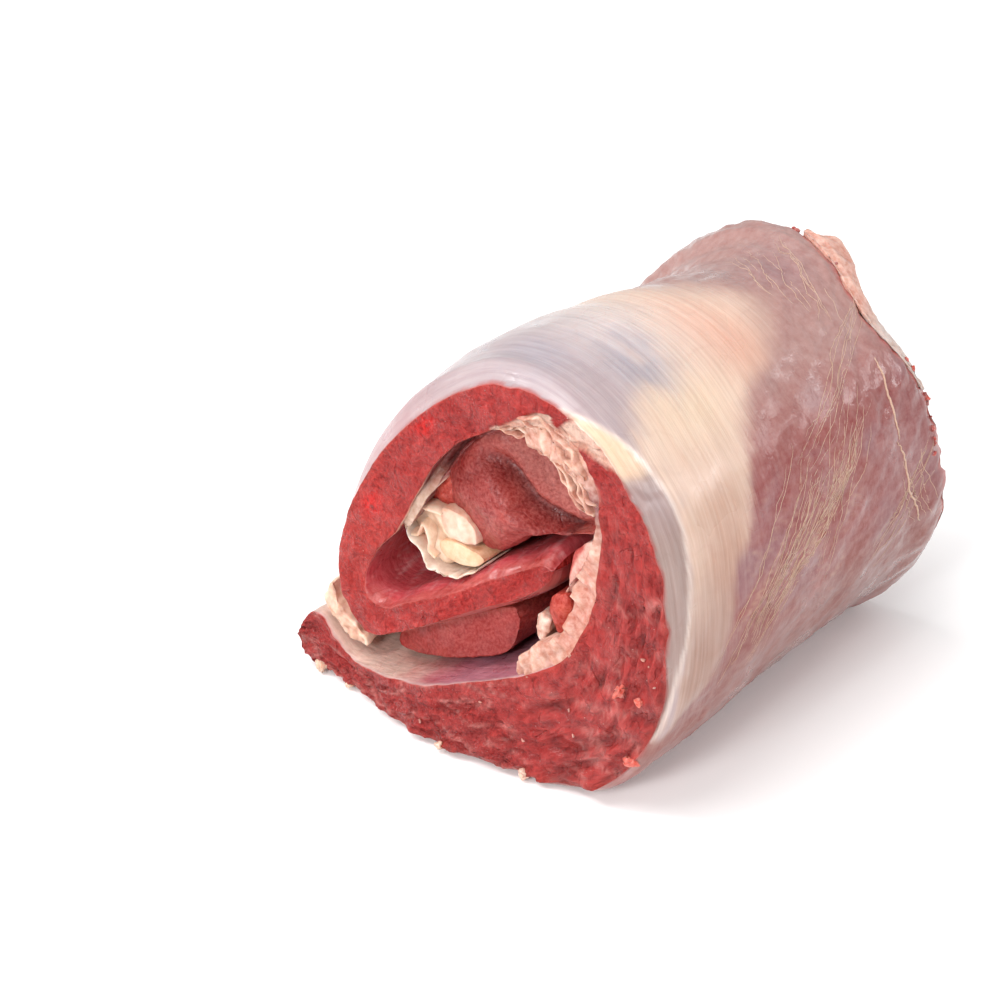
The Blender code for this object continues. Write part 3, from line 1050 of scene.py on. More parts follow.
    def ragged(self, facts: Facts) -> Array:
        """Where the front cut is torn into coarse bundles, at the lower right, 0 to 1."""
        row, share = facts["row"], facts["share"]
        return ease(5.6, 8.0, row) * (1 - ease(13.0, 15.0, row)) * (0.35 + 0.65 * ease(0, 0.4, share))

    def cut_relief(self, facts: Facts) -> Array:
        """How far each point of the front cut lies behind the plane of the cut."""
        spot = facts["spot"] * (1.0, 1.0, 0.2)
        ragged = self.ragged(facts)
        low = (1 - ease(6.0, 9.0, facts["row"])) * ease(0.1, 0.4, facts["share"])
        depth = 1.3 * self.grain.at(spot, 15.0, 2)
        depth += 0.6 * (1 - ragged) * self.grain.at(spot + 9, 4.6, 3)
        bundles = self.grain.ridge(self.along_cut(facts, 6.0), 6.0, 1)
        depth += 3.2 * ragged * (0.7 - bundles)
        depth += 0.8 * ragged * self.grain.at(self.along_cut(facts, 4.0) + 70, 3.6, 2)
        leaves = self.grain.ridge(self.along_cut(facts, 3.2) + 25, 4.4, 2)
        depth += 1.8 * low * (0.7 - leaves)
        wrinkles = 0.5 + 0.5 * self.grain.at(spot * (0.7, 1.8, 1.0) + 31, 6.0, 2)
        return depth * (1 - facts["fat"]) + facts["fat"] * (1.8 - 1.6 * wrinkles)

    def back_relief(self, facts: Facts) -> Array:
        """How far each point of the back cut lies inside the plane of the cut."""
        spot = facts["spot"] * (1.0, 1.0, 0.2)
        depth = 1.2 + 1.2 * self.grain.at(spot + 4, 12.0, 3) + 0.7 * self.grain.at(spot + 40, 4.5, 2)
        return depth + 1.6 * (0.6 - self.grain.ridge(self.along_cut(facts, 3.0) + 60, 6.0, 2))

    def skin_relief(self, facts: Facts) -> Array:
        """Height of the skin's streaks, ripples and edges above the part's face."""
        spot, y = facts["spot"], facts["y"]
        fibres = columns(facts["length"] / 16, y, 0 * y)
        border = read_table(self.band_border, facts["row"])
        back = ease(-8, 18, y - border)
        height = 0.14 * self.grain.at(fibres, 3.0, 2) + 0.35 * self.grain.at(spot, 26, 2) - 0.3
        ripples = columns((facts["length"] + y * 0.9) / 2.5, y - facts["length"] * 0.9, 0 * y)
        height += back * (0.7 * self.grain.at(ripples, 8.0, 3) + 0.4 * self.grain.at(spot, 12, 3))
        edge = read_table(self.skin_edge, facts["row"]) + 0.8 * self.grain.at(spot + 3, 8.0)
        height -= 0.5 * ease(0.6, -0.6, y - edge) * (edge > 0.5)
        patch = near(facts["row"], 17.0, 0.7) * ease(0.5, -2.0, y - edge)
        height -= 0.8 * patch * self.grain.ridge(spot * (1.0, 2.0, 1.0) + 8, 4.5, 2)
        wet = near(facts["row"], 15.4, 0.7) * ease(1.0, -2.0, y - edge)
        height += 0.7 * wet * self.grain.at(spot + 18, 4.0, 2)
        return np.where(facts["outer"] & (facts["front"] > 0.5), height, 0)

    def film_relief(self, facts: Facts) -> Array:
        """Height of the inner face's folds and of the torn edge of the tongue's film."""
        spot = facts["spot"]
        torn = ease(27, 28.5, facts["row"]) * np.exp(-facts["front"] / 7)
        height = 0.35 * self.grain.at(spot + 6, 9.0, 3) + 0.6 * torn * self.grain.at(spot, 3.6, 2)
        return np.where(facts["inner"], height, 0)

    def paint(self, facts: Facts) -> Array:
        """Ground colours of the cut, the skin and the inner film.

        Returns:
            Linear RGB for each point.
        """
        cut = self.paint_cut(facts)
        colours = np.where(facts["outer"][:, None], self.paint_skin(facts, cut), cut)
        colours = np.where(facts["inner"][:, None], self.paint_film(facts, cut), colours)
        bare = facts["length"] - 3.0 * self.grain.at(facts["spot"] + 66, 8.0, 3)
        share = 0.9 * ease(5.0, 1.5, bare)[:, None]
        colours = colours * (1 - share) + cut * share
        edge = ease(0.35, 0.5, np.abs(facts["share"] - 0.5) + 0.1 * self.grain.at(facts["spot"], 7, 2))
        torn = lay_colours(cut, ("c49a8c", 0.6 * edge))
        colours = np.where((facts["length"] < 0.1)[:, None], torn, colours)
        return np.where(facts["cut"][:, None], cut, colours)

    def paint_cut(self, facts: Facts) -> Array:
        """Ground colours of the cut muscle, with painted light and shade on its relief and on its fat's
        wrinkles.
        """
        noise = self.grain.at
        spot, row, share = facts["spot"], facts["row"], facts["share"]
        low = 1 - ease(5.0, 9.0, row)
        ragged = self.ragged(facts)
        coarse = 0.4 + 0.6 * np.maximum(low, ragged)
        fine = noise(self.along_cut(facts, 2.5) + 90, 3.0, 3)
        relief = facts["relief"]
        rim = near(share, 1.0, 0.05) + near(share, 0.0, 0.04)
        veins = self.grain.ridge(spot * (0.6, 1.4, 1.0) + 7, 16, 2) ** 9
        colours = lay_colours(
            even_coat("9c191a", row),
            ("ae2a29", 0.8 * ease(-0.2, 0.5, noise(spot, 18, 3))),
            ("8e1618", 0.7 * ease(0.1, 0.6, noise(spot + 60, 9, 3))),
            ("7a1518", 0.7 * coarse * ease(0.1, 0.7, fine)),
            ("ca4c46", 0.6 * coarse * ease(0.1, 0.7, -fine)),
            ("8e2a2c", 0.55 * np.maximum(low, ragged)),
            # Painted shade where the cut lies deep behind its plane, and painted light where it stands
            # proud of it
            ("6e1618", 0.7 * ease(0.3, 2.4, relief) * (1 - facts["fat"])),
            ("c05450", 0.55 * ease(-0.2, -2.0, relief)),
            ("be3a34", 0.65 * near(row, 25.9, 1.8)),
            ("bc4a3e", 0.4 * rim),
            ("d79a92", 0.7 * veins * np.maximum(low, 0.7 * ragged)),
        )
        for at_row, at_share, size in self.blood:
            here = near(row, at_row, size / 12) * near(share, at_share, size / 18)
            here *= np.clip(1.5 + 1.6 * noise(spot + 2, 2.6, 2), 0, 1.8)
            clots = ease(0.0, 0.4, noise(spot + 52, 1.8, 2)) * ease(0.3, 0.9, here)
            colours = lay_colours(colours, ("d00608", np.clip(1.7 * here, 0, 1)), ("5a0004", 0.8 * clots))
        fat = facts["fat"] * (facts["front"] < 12)
        # Painted light and shade on the cream fat: paler on the crests of its wrinkles, darker in their
        # hollows
        wrinkle = 0.5 + 0.5 * noise(spot * (0.7, 1.8, 0.2) + 31, 6.0, 2)
        creams = lay_colours(even_coat("dcae96", row), ("f0dac6", ease(0.2, 0.6, wrinkle)))
        return colours * (1 - fat)[:, None] + creams * fat[:, None]

    def paint_skin(self, facts: Facts, cut: Array) -> Array:
        """Ground colours of the outer silverskin, its cream band and the bare back half.

        Args:
            facts: about the points.
            cut: colours of the cut muscle.

        Returns:
            Linear RGB for each point.
        """
        noise = self.grain.at
        spot, row, y = facts["spot"], facts["row"], facts["y"]
        fibres = columns(facts["length"] / 12, y, 0 * y)
        fine = noise(fibres, 3.2, 3)
        warp = 4.5 * noise(spot, 16, 3) + 5.0 * noise(fibres + 30, 6.0, 3)
        border = read_table(self.band_border, row)
        soft = np.interp(row, (12, 14.8, 16.2, 18.0), (4.0, 5.0, 11.0, 16.0))
        within = 1 - ease(-1, 1, (y + 0.7 * warp - border) / soft)
        left = ease(21.0, 24.0, row)
        cream_soft = np.interp(row, (14, 17, 20), (5.0, 9.0, 16.0))
        cream = ease(-1, 1, (y + warp - read_table(self.band_front, row)) / cream_soft)
        peach = near(row, 17.0, 0.9) * near(y, 84, 14) + near(row, 18.2, 1.2) * near(y, 76, 14)
        blue = near(row + 0.1 * warp, 17.95, 0.7) * near(y + warp, 40, 13)
        blue += 0.7 * near(row, 19.6, 1.0) * near(y + warp, 16, 11)
        # Silverskin, then the cream band, and last the bluish patches in front of the band
        colours = lay_colours(
            even_coat("ae9c9f", row),
            ("a67478", 0.75 * left),
            ("d9bdaa", cream * (1 - 0.5 * left)),
            ("b0826c", 0.85 * near(row, 13.4, 2.0) * near(y, 36, 19)),
            ("9c7464", 0.9 * ease(14.2, 12.0, row) * cream),
            ("e8cfae", 0.5 * near(row, 16.6, 0.8) * near(y, 44, 18)),
            ("d59c86", 0.5 * peach),
            ("e0d4d0", 0.6 * near(row, 19.2, 1.5) * near(y, 46, 22)),
            ("9694a2", 0.75 * blue),
        )
        bare = self.paint_bare(facts)
        colours = colours * within[:, None] + bare * (1 - within)[:, None]
        colours = self.paint_thin_skin(facts, colours)
        # Muscle colour where the skin is thin beside the cuts, and on the tongue
        ragged = 1.5 + 1.2 * noise(spot + 44, 5.0, 2)
        red = ease(ragged, 0.1, facts["front"]) + ease(2.4 + 2 * ragged, 0.5, facts["back"])
        red += ease(27.0, 28.0, row)
        share = np.clip(red, 0, 1)[:, None]
        colours = colours * (1 - 0.9 * share) + cut * 0.9 * share
        colours = lay_colours(colours, ("9c5c58", 0.8 * ease(9.6, 8.4, row)))
        return np.clip(colours * (1 + 0.07 * fine * within)[:, None], 0, 1)

    def paint_bare(self, facts: Facts) -> Array:
        """Ground colours of the muscle under a thin film behind the cream band."""
        noise = self.grain.at
        spot, row, y = facts["spot"], facts["row"], facts["y"]
        blotch = noise(spot + 20, 24, 3)
        red = near(row, 13.8, 0.9) * near(y, 62, 14)
        crown = near(row, 18.6, 0.9) * near(y, 128, 12)
        slant = columns((facts["length"] + y * 0.9) / 14, y - facts["length"] * 0.9, 0 * y)
        straws = ease(0.1, 0.8, noise(slant + 40, 3.4, 3))
        straws *= near(row, 12.4, 1.6) * ease(30, 50, y) * ease(125, 95, y)
        streak = ease(0.25, 0.8, noise(slant + 80, 6.0, 2)) * near(row, 11.7, 1.0)
        return lay_colours(
            even_coat("8a3732", row),
            ("8a5a5e", 0.8 * ease(0.0, 0.45, blotch)),
            ("822824", 0.85 * ease(0.02, 0.45, -blotch)),
            ("86363c", 0.6 * red),
            ("aa847e", 0.85 * ease(14.4, 16.6, row)),
            ("80484a", 0.5 * ease(105, 150, y) * ease(16.0, 14.0, row)),
            ("8c666c", 0.6 * crown),
            ("84493f", 0.8 * ease(12.6, 10.6, row)),
            ("c49c80", 0.5 * straws),
            ("9c443a", 0.7 * streak * near(y, 80, 22)),
        )

    def paint_thin_skin(self, facts: Facts, colours: Array) -> Array:
        """Lays the thin translucent skin beside the front cut over the colours."""
        row, y = facts["row"], facts["y"]
        warp = self.grain.at(facts["spot"], 9, 3)
        edge = read_table(self.skin_edge, row) + 0.5 * warp
        strip = ease(1.0, -1.0, y - edge) * (edge > 0.6)
        grey = ease(16.0, 15.6, row + 0.1 * warp)
        wet = near(row, 15.3, 0.6) * strip
        return lay_colours(
            colours,
            ("e4c4a6", strip * (1 - grey)),
            ("9a8078", 0.95 * strip * grey),
            ("a08888", 0.7 * wet),
            ("ddccc2", 0.7 * near(y, edge, 0.9) * (edge > 0.6)),
        )

    def paint_film(self, facts: Facts, cut: Array) -> Array:
        """Ground colours of the inner face.

        Args:
            facts: about the points.
            cut: colours of the cut muscle.

        Returns:
            Linear RGB for each point.
        """
        noise = self.grain.at
        spot, row, y = facts["spot"], facts["row"], facts["y"]
        fibres = columns(facts["length"] + y * 0.5, (y - facts["length"] * 0.5) / 6, 0 * y)
        streaks = ease(0.15, 0.7, noise(fibres + 12, 3.2, 3))
        tail = ease(5.0, 3.4, row + 0.4 * noise(spot, 9, 2))
        lilac = ease(3.4, 5.2, row) * ease(10.5, 8.5, row)
        side = ease(8.5, 9.5, row) * ease(20.6, 19.4, row)
        bared = ease(19.4, 20.6, row) * ease(27.0, 25.5, row)
        ragged = facts["front"] + 1.2 * noise(spot + 77, 5.0, 3)
        lining = ease(2.0 + 1.6 * near(row, 24.6, 0.9), 0.6, ragged) * bared
        colours = lay_colours(
            even_coat("c63e48", row),
            ("dca0a0", 0.55 * streaks),
            ("dcc2b2", tail),
            ("a06f82", 0.85 * lilac),
            ("cca08c", side),
            ("8c3230", 0.8 * bared),
            ("d8b8a0", lining),
            ("e0ccc8", 0.7 * near(facts["front"], 1.0, 0.8) * (row < 9)),
        )
        torn = ease(27, 28.4, row) * ease(7.0, 1.5, facts["front"] + 2 * noise(spot, 5, 2))
        share = 0.9 * torn[:, None]
        return colours * (1 - share) + cut * share

    def comb(self, facts: Facts) -> Array:
        """Where the skin's fibres show as fine streaks, 0 to 1."""
        border = read_table(self.band_border, facts["row"])
        skin = 0.7 * ease(18, -6, facts["y"] - border) + 0.2
        film = np.full_like(skin, 0.6)
        cut = 0.35 + 0.6 * self.ragged(facts)
        return np.where(facts["cut"], cut, np.where(facts["outer"], skin, film))

    def build(self) -> bpy.types.Object:
        """Makes the sheet.

        Returns:
            The sheet with its three finishes.
        """
        draft, facts = self.shape()
        draft.push(self.skin_relief(facts) + self.film_relief(facts))
        draft.tint = self.paint(facts)
        draft.comb = self.comb(facts)
        return self.put_in(draft, CUT_VEAL, SILVERSKIN, INNER_FILM)


@dataclass
class Layer(Piece):
    """A slab of fat or muscle that lies between the turns and runs the roll's length.

    Attributes:
        pairs: points of its two faces.
        cells: steps, layers and rings.
        sets: how far its ends stand inside the two cuts.
        finish: its surface.
        grain: noise of its shape and colours.
        tip_share: thickness left at its rounded ends.
    """

    pairs: Array
    cells: tuple[int, int, int]
    sets: tuple[float, float]
    finish: MoistTissue
    grain: Grain
    tip_share: float = 0.4

    def shape(self) -> tuple[Draft, Facts]:
        """Bends the slab along its two faces.

        Returns:
            The surface, and facts about its points.
        """
        steps, layers, rings = self.cells
        rows, positions, length = even_steps(self.pairs, steps)
        cells, quads = block_surface(steps, layers, rings)
        i, j, k = cells.T
        row = rows[i]
        share = rounded_share(rows, i, j / layers, length, self.tip_share)
        start = cut_across(FRONT_HUMPS, row, share) + self.sets[0]
        stop = cut_across(BACK_HUMPS, row, share) + ROLL_LENGTH - self.sets[1]
        y = start + (stop - start) * along_roll(k / rings)
        x, z = section_at(row, share)
        facts = {
            "row": positions[i], "share": share, "x": x, "z": z, "y": y,
            "front": y - start, "back": stop - y, "length": i * length / steps,
            "spot": columns(x, z, y),
        }
        return draft_of(x, z, y, [quads], facts["length"]), facts


def seam_pairs(seam: Places, gap: float, bite: float) -> Array:
    """Points of a layer on the inner face of the outer muscle.

    Args:
        seam: (row of WRAP, thickness) along the layer.
        gap: space that the part leaves to the muscle.
        bite: how far the near face goes into the muscle, so that no slit shows.

    Returns:
        A point of the face by the muscle and of the free face for each row.
    """
    position = np.array([row[0] for row in seam], float)
    thick = np.array([row[1] for row in seam], float)
    before, after = on_curve(WRAP, position - 0.1), on_curve(WRAP, position + 0.1)
    along = after[:, 2:] - before[:, 2:]
    along /= np.linalg.norm(along, axis=1)[:, None]
    inward = columns(-along[:, 1], along[:, 0])
    muscle = on_curve(WRAP, position)[:, 2:]
    free_face = muscle + inward * (gap + thick[:, None])
    return np.concatenate([muscle - inward * bite, free_face], axis=1)


@dataclass
class FatSeam(Layer):
    """White fat between the turns, thick and frilled at the upper right."""

    def build(self) -> bpy.types.Object:
        """Makes the seam.

        Returns:
            The seam with its frilled front.
        """
        draft, facts = self.shape()
        spot = facts["spot"]
        front = np.exp(-facts["front"] / 6.0)
        row = np.interp(
            facts["row"], np.arange(len(FAT_SEAM)), [station[0] for station in FAT_SEAM]
        )
        thick = near(row, 16.8, 2.2) + near(row, 8.5, 3.5)
        folds = columns(facts["length"], facts["y"] * 0.3, facts["share"] * 4)
        frill = self.grain.at(folds, 7.0, 2)
        height = np.where(facts["share"] < 0.5, (2.2 * frill + 0.8) * front * thick, 0)
        height += 0.3 * self.grain.at(spot, 7.0, 2) - 0.15
        draft.points += draft.normals() * height[:, None]
        draft.points[:, 1] += front * thick * (2.4 * self.grain.at(folds + 9, 6.0, 2) - 0.4)
        draft.points[:, 1] += front * 13.0 * ease(19.0, 20.4, row) * ease(24.0, 23.2, row)
        draft.tint = self.paint(row, spot, front, frill)
        bared = ease(19.0, 20.2, row) * ease(0.6, 0.3, facts["share"]) * ease(0.8, 2, facts["front"])
        draft.tint = lay_colours(draft.tint, ("84302e", 0.9 * bared))
        quads = draft.faces[0]
        reddish = (row > 19.9) & (row < 23.5)
        draft.finish_of = reddish[quads].all(axis=1).astype(int)
        return self.put_in(draft, self.finish, INNER_VEAL)

    def paint(self, row: Array, spot: Array, front: Array, frill: Array) -> Array:
        """Colours: white folds at the upper right and below, a reddish film elsewhere.

        Args:
            row: place along the sheet.
            spot: place in the section and along the roll.
            front: 1 at the front end, fading into the roll.
            frill: height of the folds.

        Returns:
            Linear RGB for each point.
        """
        noise = self.grain.at
        pink = near(row, 10.8, 1.7)
        film = ease(19.4, 20.4, row) * ease(23.7, 23.3, row) + near(row, 13.9, 0.9)
        return lay_colours(
            even_coat("bc826e", row),
            # Paler where the frills stand out: painted light on them near the front, a paler mottle
            # further in
            ("dab09c", ease(-0.3, 0.5, frill)),
            ("b86c5a", 0.8 * pink * ease(0.5, -0.3, noise(spot, 9, 2))),
            ("d48c80", 0.5 * ease(0.2, 0.8, noise(spot + 33, 8, 3))),
            ("7a2a28", film),
            ("bfa692", 0.8 * ease(23.4, 24.0, row)),
            ("c08878", 0.6 * (1 - front) * (1 - np.clip(film, 0, 1))),
        )


@dataclass
class InnerFlap(Layer):
    """The low slab of muscle under the tongue."""

    def build(self) -> bpy.types.Object:
        """Makes the flap.

        Returns:
            The flap.
        """
        draft, facts = self.shape()
        spot = facts["spot"]
        fibres = columns(facts["length"] / 4, facts["share"] * 14, facts["y"] / 2)
        draft.push(0.5 * self.grain.at(spot, 8, 3) - 0.4 + 0.3 * self.grain.at(fibres, 3, 2))
        draft.tint = lay_colours(
            even_coat("b03a38", spot),
            ("c2534a", 0.7 * ease(-0.1, 0.6, self.grain.at(spot, 9, 3))),
            ("ca6558", 0.5 * near(facts["share"], 0.0, 0.12)),
            ("902a2c", 0.5 * ease(0.1, 0.7, self.grain.at(spot + 8, 6, 3))),
        )
        return self.put_in(draft, self.finish)


@dataclass
class Lump(Piece):
    """A body of muscle or fat with a closed outline and domed ends.

    Attributes:
        outline: points at the front and, if they move, where they are deep in the roll.
        steps: cells round it.
        rings: cells along the roll.
        dome_rings: cells from the middle of an end to its rim.
        sets: how far its ends stand inside the two cuts.
        dome: how far its ends bulge.
        finish: its surface.
        grain: noise of its shape and colours.
        deep_from: where the outline begins to move, behind the front end.
        deep_at: where it has its place deep in the roll.
    """

    outline: Array
    steps: int
    rings: int
    dome_rings: int
    sets: tuple[float, float]
    dome: float
    finish: MoistTissue
    grain: Grain
    deep_from: float = 8.0
    deep_at: float = 42.0

    def crease(self, x: Array, z: Array) -> Array:
        """How far the front is pushed in, over the section."""
        return np.zeros_like(x)

    def shape(self) -> tuple[Draft, Facts]:
        """Closes rings of points round the outline.

        Returns:
            The surface, and facts about its points.
        """
        outline = self.outline
        if outline.shape[1] == 2:
            outline = np.concatenate([outline, outline], axis=1)
        edge, _, length = even_steps(outline, self.steps, closed=True)
        edge = edge[:-1]
        middle = edge.mean(axis=0)
        start = float(cut_stands(FRONT_HUMPS, middle[0:1], middle[1:2])[0]) + self.sets[0]
        stop = ROLL_LENGTH + float(cut_stands(BACK_HUMPS, middle[0:1], middle[1:2])[0])
        stop -= self.sets[1]
        deep = ((start + self.deep_from, 0.0), (start + self.deep_at, 1.0))
        shares = np.sin(np.linspace(0, math.pi / 2, self.dome_rings + 1))[1:-1]
        rises = self.dome * (1 - np.sqrt(1 - shares ** 2))
        tube = along_roll(np.arange(self.rings + 1) / self.rings)
        places = start + self.dome + (stop - start - 2 * self.dome) * tube
        share_of = np.concatenate([shares, np.ones(len(places)), shares[::-1]])
        y_of = np.concatenate([start + rises, places, (stop - rises)[::-1]])
        share = np.repeat(share_of, self.steps)
        y = np.repeat(y_of, self.steps)
        turn = np.tile(np.arange(self.steps), len(share_of))
        share = np.concatenate([[0], share, [0]])
        y = np.concatenate([[start], y, [stop]])
        turn = np.concatenate([[0], turn, [0]])
        here = middle + (edge[turn] - middle) * share[:, None]
        pressed = steps_between(deep, y)
        x = here[:, 0] + (here[:, 2] - here[:, 0]) * pressed
        z = here[:, 1] + (here[:, 3] - here[:, 1]) * pressed
        facts = {
            "share": share, "x": x, "z": z, "y": y, "front": y - start, "back": stop - y,
            "length": turn * length / self.steps, "spot": columns(x, z, y),
        }
        fade = np.exp(-np.maximum(y - start - self.dome, 0) / 3.0)
        y = y + self.crease(x, z) * ease(1.0, 0.9, share) * fade
        last = 1 + (len(share_of) - 1) * self.steps
        m = np.arange(self.steps)
        n = (m + 1) % self.steps
        caps = [
            columns(np.zeros_like(m), 1 + m, 1 + n),
            columns(last + m, np.full_like(m, len(x) - 1), last + n),
        ]
        starts = np.arange(1, last, self.steps)[:, None]
        walls = np.stack(
            [starts + m, starts + self.steps + m, starts + self.steps + n, starts + n], axis=-1
        ).reshape(-1, 4)
        return draft_of(x, z, y, [np.concatenate(caps), walls], facts["length"]), facts


@dataclass
class RolledCore(Lump):
    """The inner muscle in two lobes.

    Attributes:
        fold_depth: of the fold between the lobes.
        fold_width: of the same fold.
        upper_set: how far the upper lobe stands behind the lower one.
        upper_blend: how softly it does.
        fold: x and z of places along the fold.
    """

    fold_depth: float = 7.5
    fold_width: float = 3.6
    upper_set: float = 6.5
    upper_blend: float = 1.8
    fold: tuple = (
        (-38, 122), (-24, 116), (-10, 110.5), (-1.5, 105.5), (7, 100), (17, 96.5), (27, 94.5),
        (35, 93.5),
    )

    def fold_line(self, x: Array) -> Array:
        """Height of the fold between the lobes."""
        return read_table(self.fold, x)

    def crease(self, x: Array, z: Array) -> Array:
        """The fold, and how far the upper lobe is set back."""
        over = z - self.fold_line(x)
        deeper_right = ease(-20, -2, x)
        groove = self.fold_depth * deeper_right * near(over, 0.8, self.fold_width)
        upper = self.upper_set * deeper_right / (1 + np.exp(-over / self.upper_blend))
        lower = -4.2 * near(x, -3, 17) * near(z, 96, 11)
        return groove + upper + lower

    def build(self) -> bpy.types.Object:
        """Makes the two lobes.

        Returns:
            The inner muscle.
        """
        draft, facts = self.shape()
        spot = facts["spot"]
        over = facts["z"] - self.fold_line(facts["x"])
        bumps = self.grain.at(spot, 9.0, 2)
        parting = self.grain.ridge(spot * (1.0, 1.0, 0.5) + 12, 17.0, 2) ** 8
        draft.push(0.9 * bumps - 0.5 - 0.4 * parting + 0.2 * self.grain.at(spot + 3, 3.0, 2))
        blood = near(facts["x"], -23.5, 2.2) * near(facts["z"], 106, 1.8)
        # Painted shade: the fold between the lobes is darkened near the front, and the partings a
        # little
        fold = near(over, 0.6, 1.7)
        draft.tint = lay_colours(
            even_coat("8c2422", spot),
            ("a03c37", 0.8 * ease(-0.3, 0.5, self.grain.at(spot, 12, 3))),
            ("a2463f", 0.8 * ease(1, 4, over)),
            ("9c5a52", 0.6 * ease(4, 12, over) * ease(-16, 0, facts["x"])),
            ("5c1214", 0.9 * fold * ease(-18, -4, facts["x"]) * ease(60, 40, facts["y"])),
            ("8c2a2a", 0.25 * parting),
            ("8c0c0e", 0.9 * blood),
        )
        return self.put_in(draft, self.finish)


@dataclass
class SideStrip(Lump):
    """The strip of muscle on the right of the roll's inside, with pinkish fat along it.

    Attributes:
        blood: x, z and size of the red spots on its fat.
    """

    blood: tuple = ((27.0, 84.5, 1.3), (25.4, 80.0, 1.0))

    def build(self) -> bpy.types.Object:
        """Makes the strip.

        Returns:
            The strip.
        """
        draft, facts = self.shape()
        spot = facts["spot"]
        draft.push(0.5 * self.grain.at(spot, 6, 3) - 0.4)
        edge = facts["x"] - 21.0 - 0.28 * (facts["z"] - 76) + 1.2 * self.grain.at(spot + 5, 6, 2)
        colours = lay_colours(
            even_coat("b4403c", spot),
            ("e0b2a4", ease(-0.6, 1.2, edge)),
            ("ecd2c2", 0.6 * ease(2.5, 4.5, edge)),
            ("b42e22", 0.85 * ease(68, 62, facts["z"])),
        )
        for x, z, size in self.blood:
            spots = near(facts["x"], x, size) * near(facts["z"], z, 1.2 * size)
            colours = lay_colours(colours, ("b01a18", 0.9 * spots))
        draft.tint = colours
        return self.put_in(draft, self.finish)


@dataclass
class FatLump(Lump):
    """A fold or crumple of fat, or a torn bit of muscle.

    Attributes:
        ground: hex of its colour.
        crests: hex of the painted light on the crests of its folds.
        hollows: hex of the painted shade in the hollows of its folds.
        fold_size: size of its folds.
        fold_height: height of its folds.
    """

    ground: str = "e2c09c"
    crests: str = "f2dec4"
    hollows: str = "c89c74"
    fold_size: float = 6.0
    fold_height: float = 1.0

    def build(self) -> bpy.types.Object:
        """Makes the fat.

        Returns:
            The fat.
        """
        draft, facts = self.shape()
        spot = columns(facts["x"], facts["z"], facts["y"] * 0.5)
        folds = self.grain.at(spot, self.fold_size, 2)
        draft.push(self.fold_height * (folds - 0.4) + 0.1 * self.grain.at(spot + 5, 2.5, 2))
        # Painted light and shade: paler on the crests of the folds, darker in their hollows
        draft.tint = lay_colours(
            even_coat(self.ground, spot),
            (self.crests, 0.8 * ease(0.0, 0.6, folds)),
            (self.hollows, 0.7 * ease(0.0, 0.7, -folds)),
        )
        return self.put_in(draft, self.finish)


@dataclass
class Ribbon(Piece):
    """A ruffled strip of fat whose front edge follows a path over the section.

    Attributes:
        path: x and z of places along it.
        sets: how far its front and back edges lie behind the front cut.
        thick: its thickness.
        ruffle: how far its ruffles swing to each side.
        wave: length of a ruffle.
        finish: its surface.
        grain: noise of its shape and colours.
        ground: hex of its colour.
        crests: hex of the painted light on one side of its ruffles, near its front edge.
        steps: cells along the path.
        layers: cells across its thickness.
        rings: cells along the roll.
    """

    path: Places
    sets: tuple[float, float]
    thick: float
    ruffle: float
    wave: float
    finish: MoistTissue
    grain: Grain
    ground: str = "b07460"
    crests: str = "d2aa96"
    steps: int = 130
    layers: int = 6
    rings: int = 26

    def build(self) -> bpy.types.Object:
        """Makes the strip.

        Returns:
            The strip.
        """
        rows, _, length = even_steps(np.array(self.path, float), self.steps)
        along = np.gradient(rows, axis=0)
        along /= np.linalg.norm(along, axis=1)[:, None]
        across = columns(-along[:, 1], along[:, 0])
        cells, quads = block_surface(self.steps, self.layers, self.rings)
        i, j, k = cells.T
        u, v = i / self.steps, k / self.rings
        waves = columns(u * length, v * self.wave * 0.8, 0 * u)
        swing = self.ruffle * self.grain.at(waves, self.wave, 2) * (1 - 0.6 * v)
        lip = np.sqrt(np.clip(1 - (2 * np.abs(v - 0.5)) ** 6, 0.05, 1))
        ends = np.sqrt(np.clip(1 - (2 * np.abs(u - 0.5)) ** 10, 0.04, 1))
        thick = self.thick * lip * ends * (1 + 0.35 * self.grain.at(waves + 20, 6.0, 2))
        offset = swing + thick * (j / self.layers - 0.5)
        x = rows[i, 0] + across[i, 0] * offset
        z = rows[i, 1] + across[i, 1] * offset
        front = self.sets[0] + 1.6 * self.grain.at(waves * (1, 0, 0) + 40, self.wave, 2)
        y = cut_stands(FRONT_HUMPS, x, z) + front + (self.sets[1] - front) * v
        draft = draft_of(x, z, y, [quads], u * length)
        spot = columns(x, z, y)
        draft.push(0.2 * self.grain.at(spot, 4.0, 2))
        # Painted light on one side of the ruffles near the front edge
        draft.tint = lay_colours(
            even_coat(self.ground, x),
            (self.crests, ease(0.5, 0.0, v) * ease(-0.4, 0.4, swing)),
            ("d48878", 0.4 * ease(0.2, 0.8, self.grain.at(spot, 7, 3))),
        )
        return self.put_in(draft, self.finish)


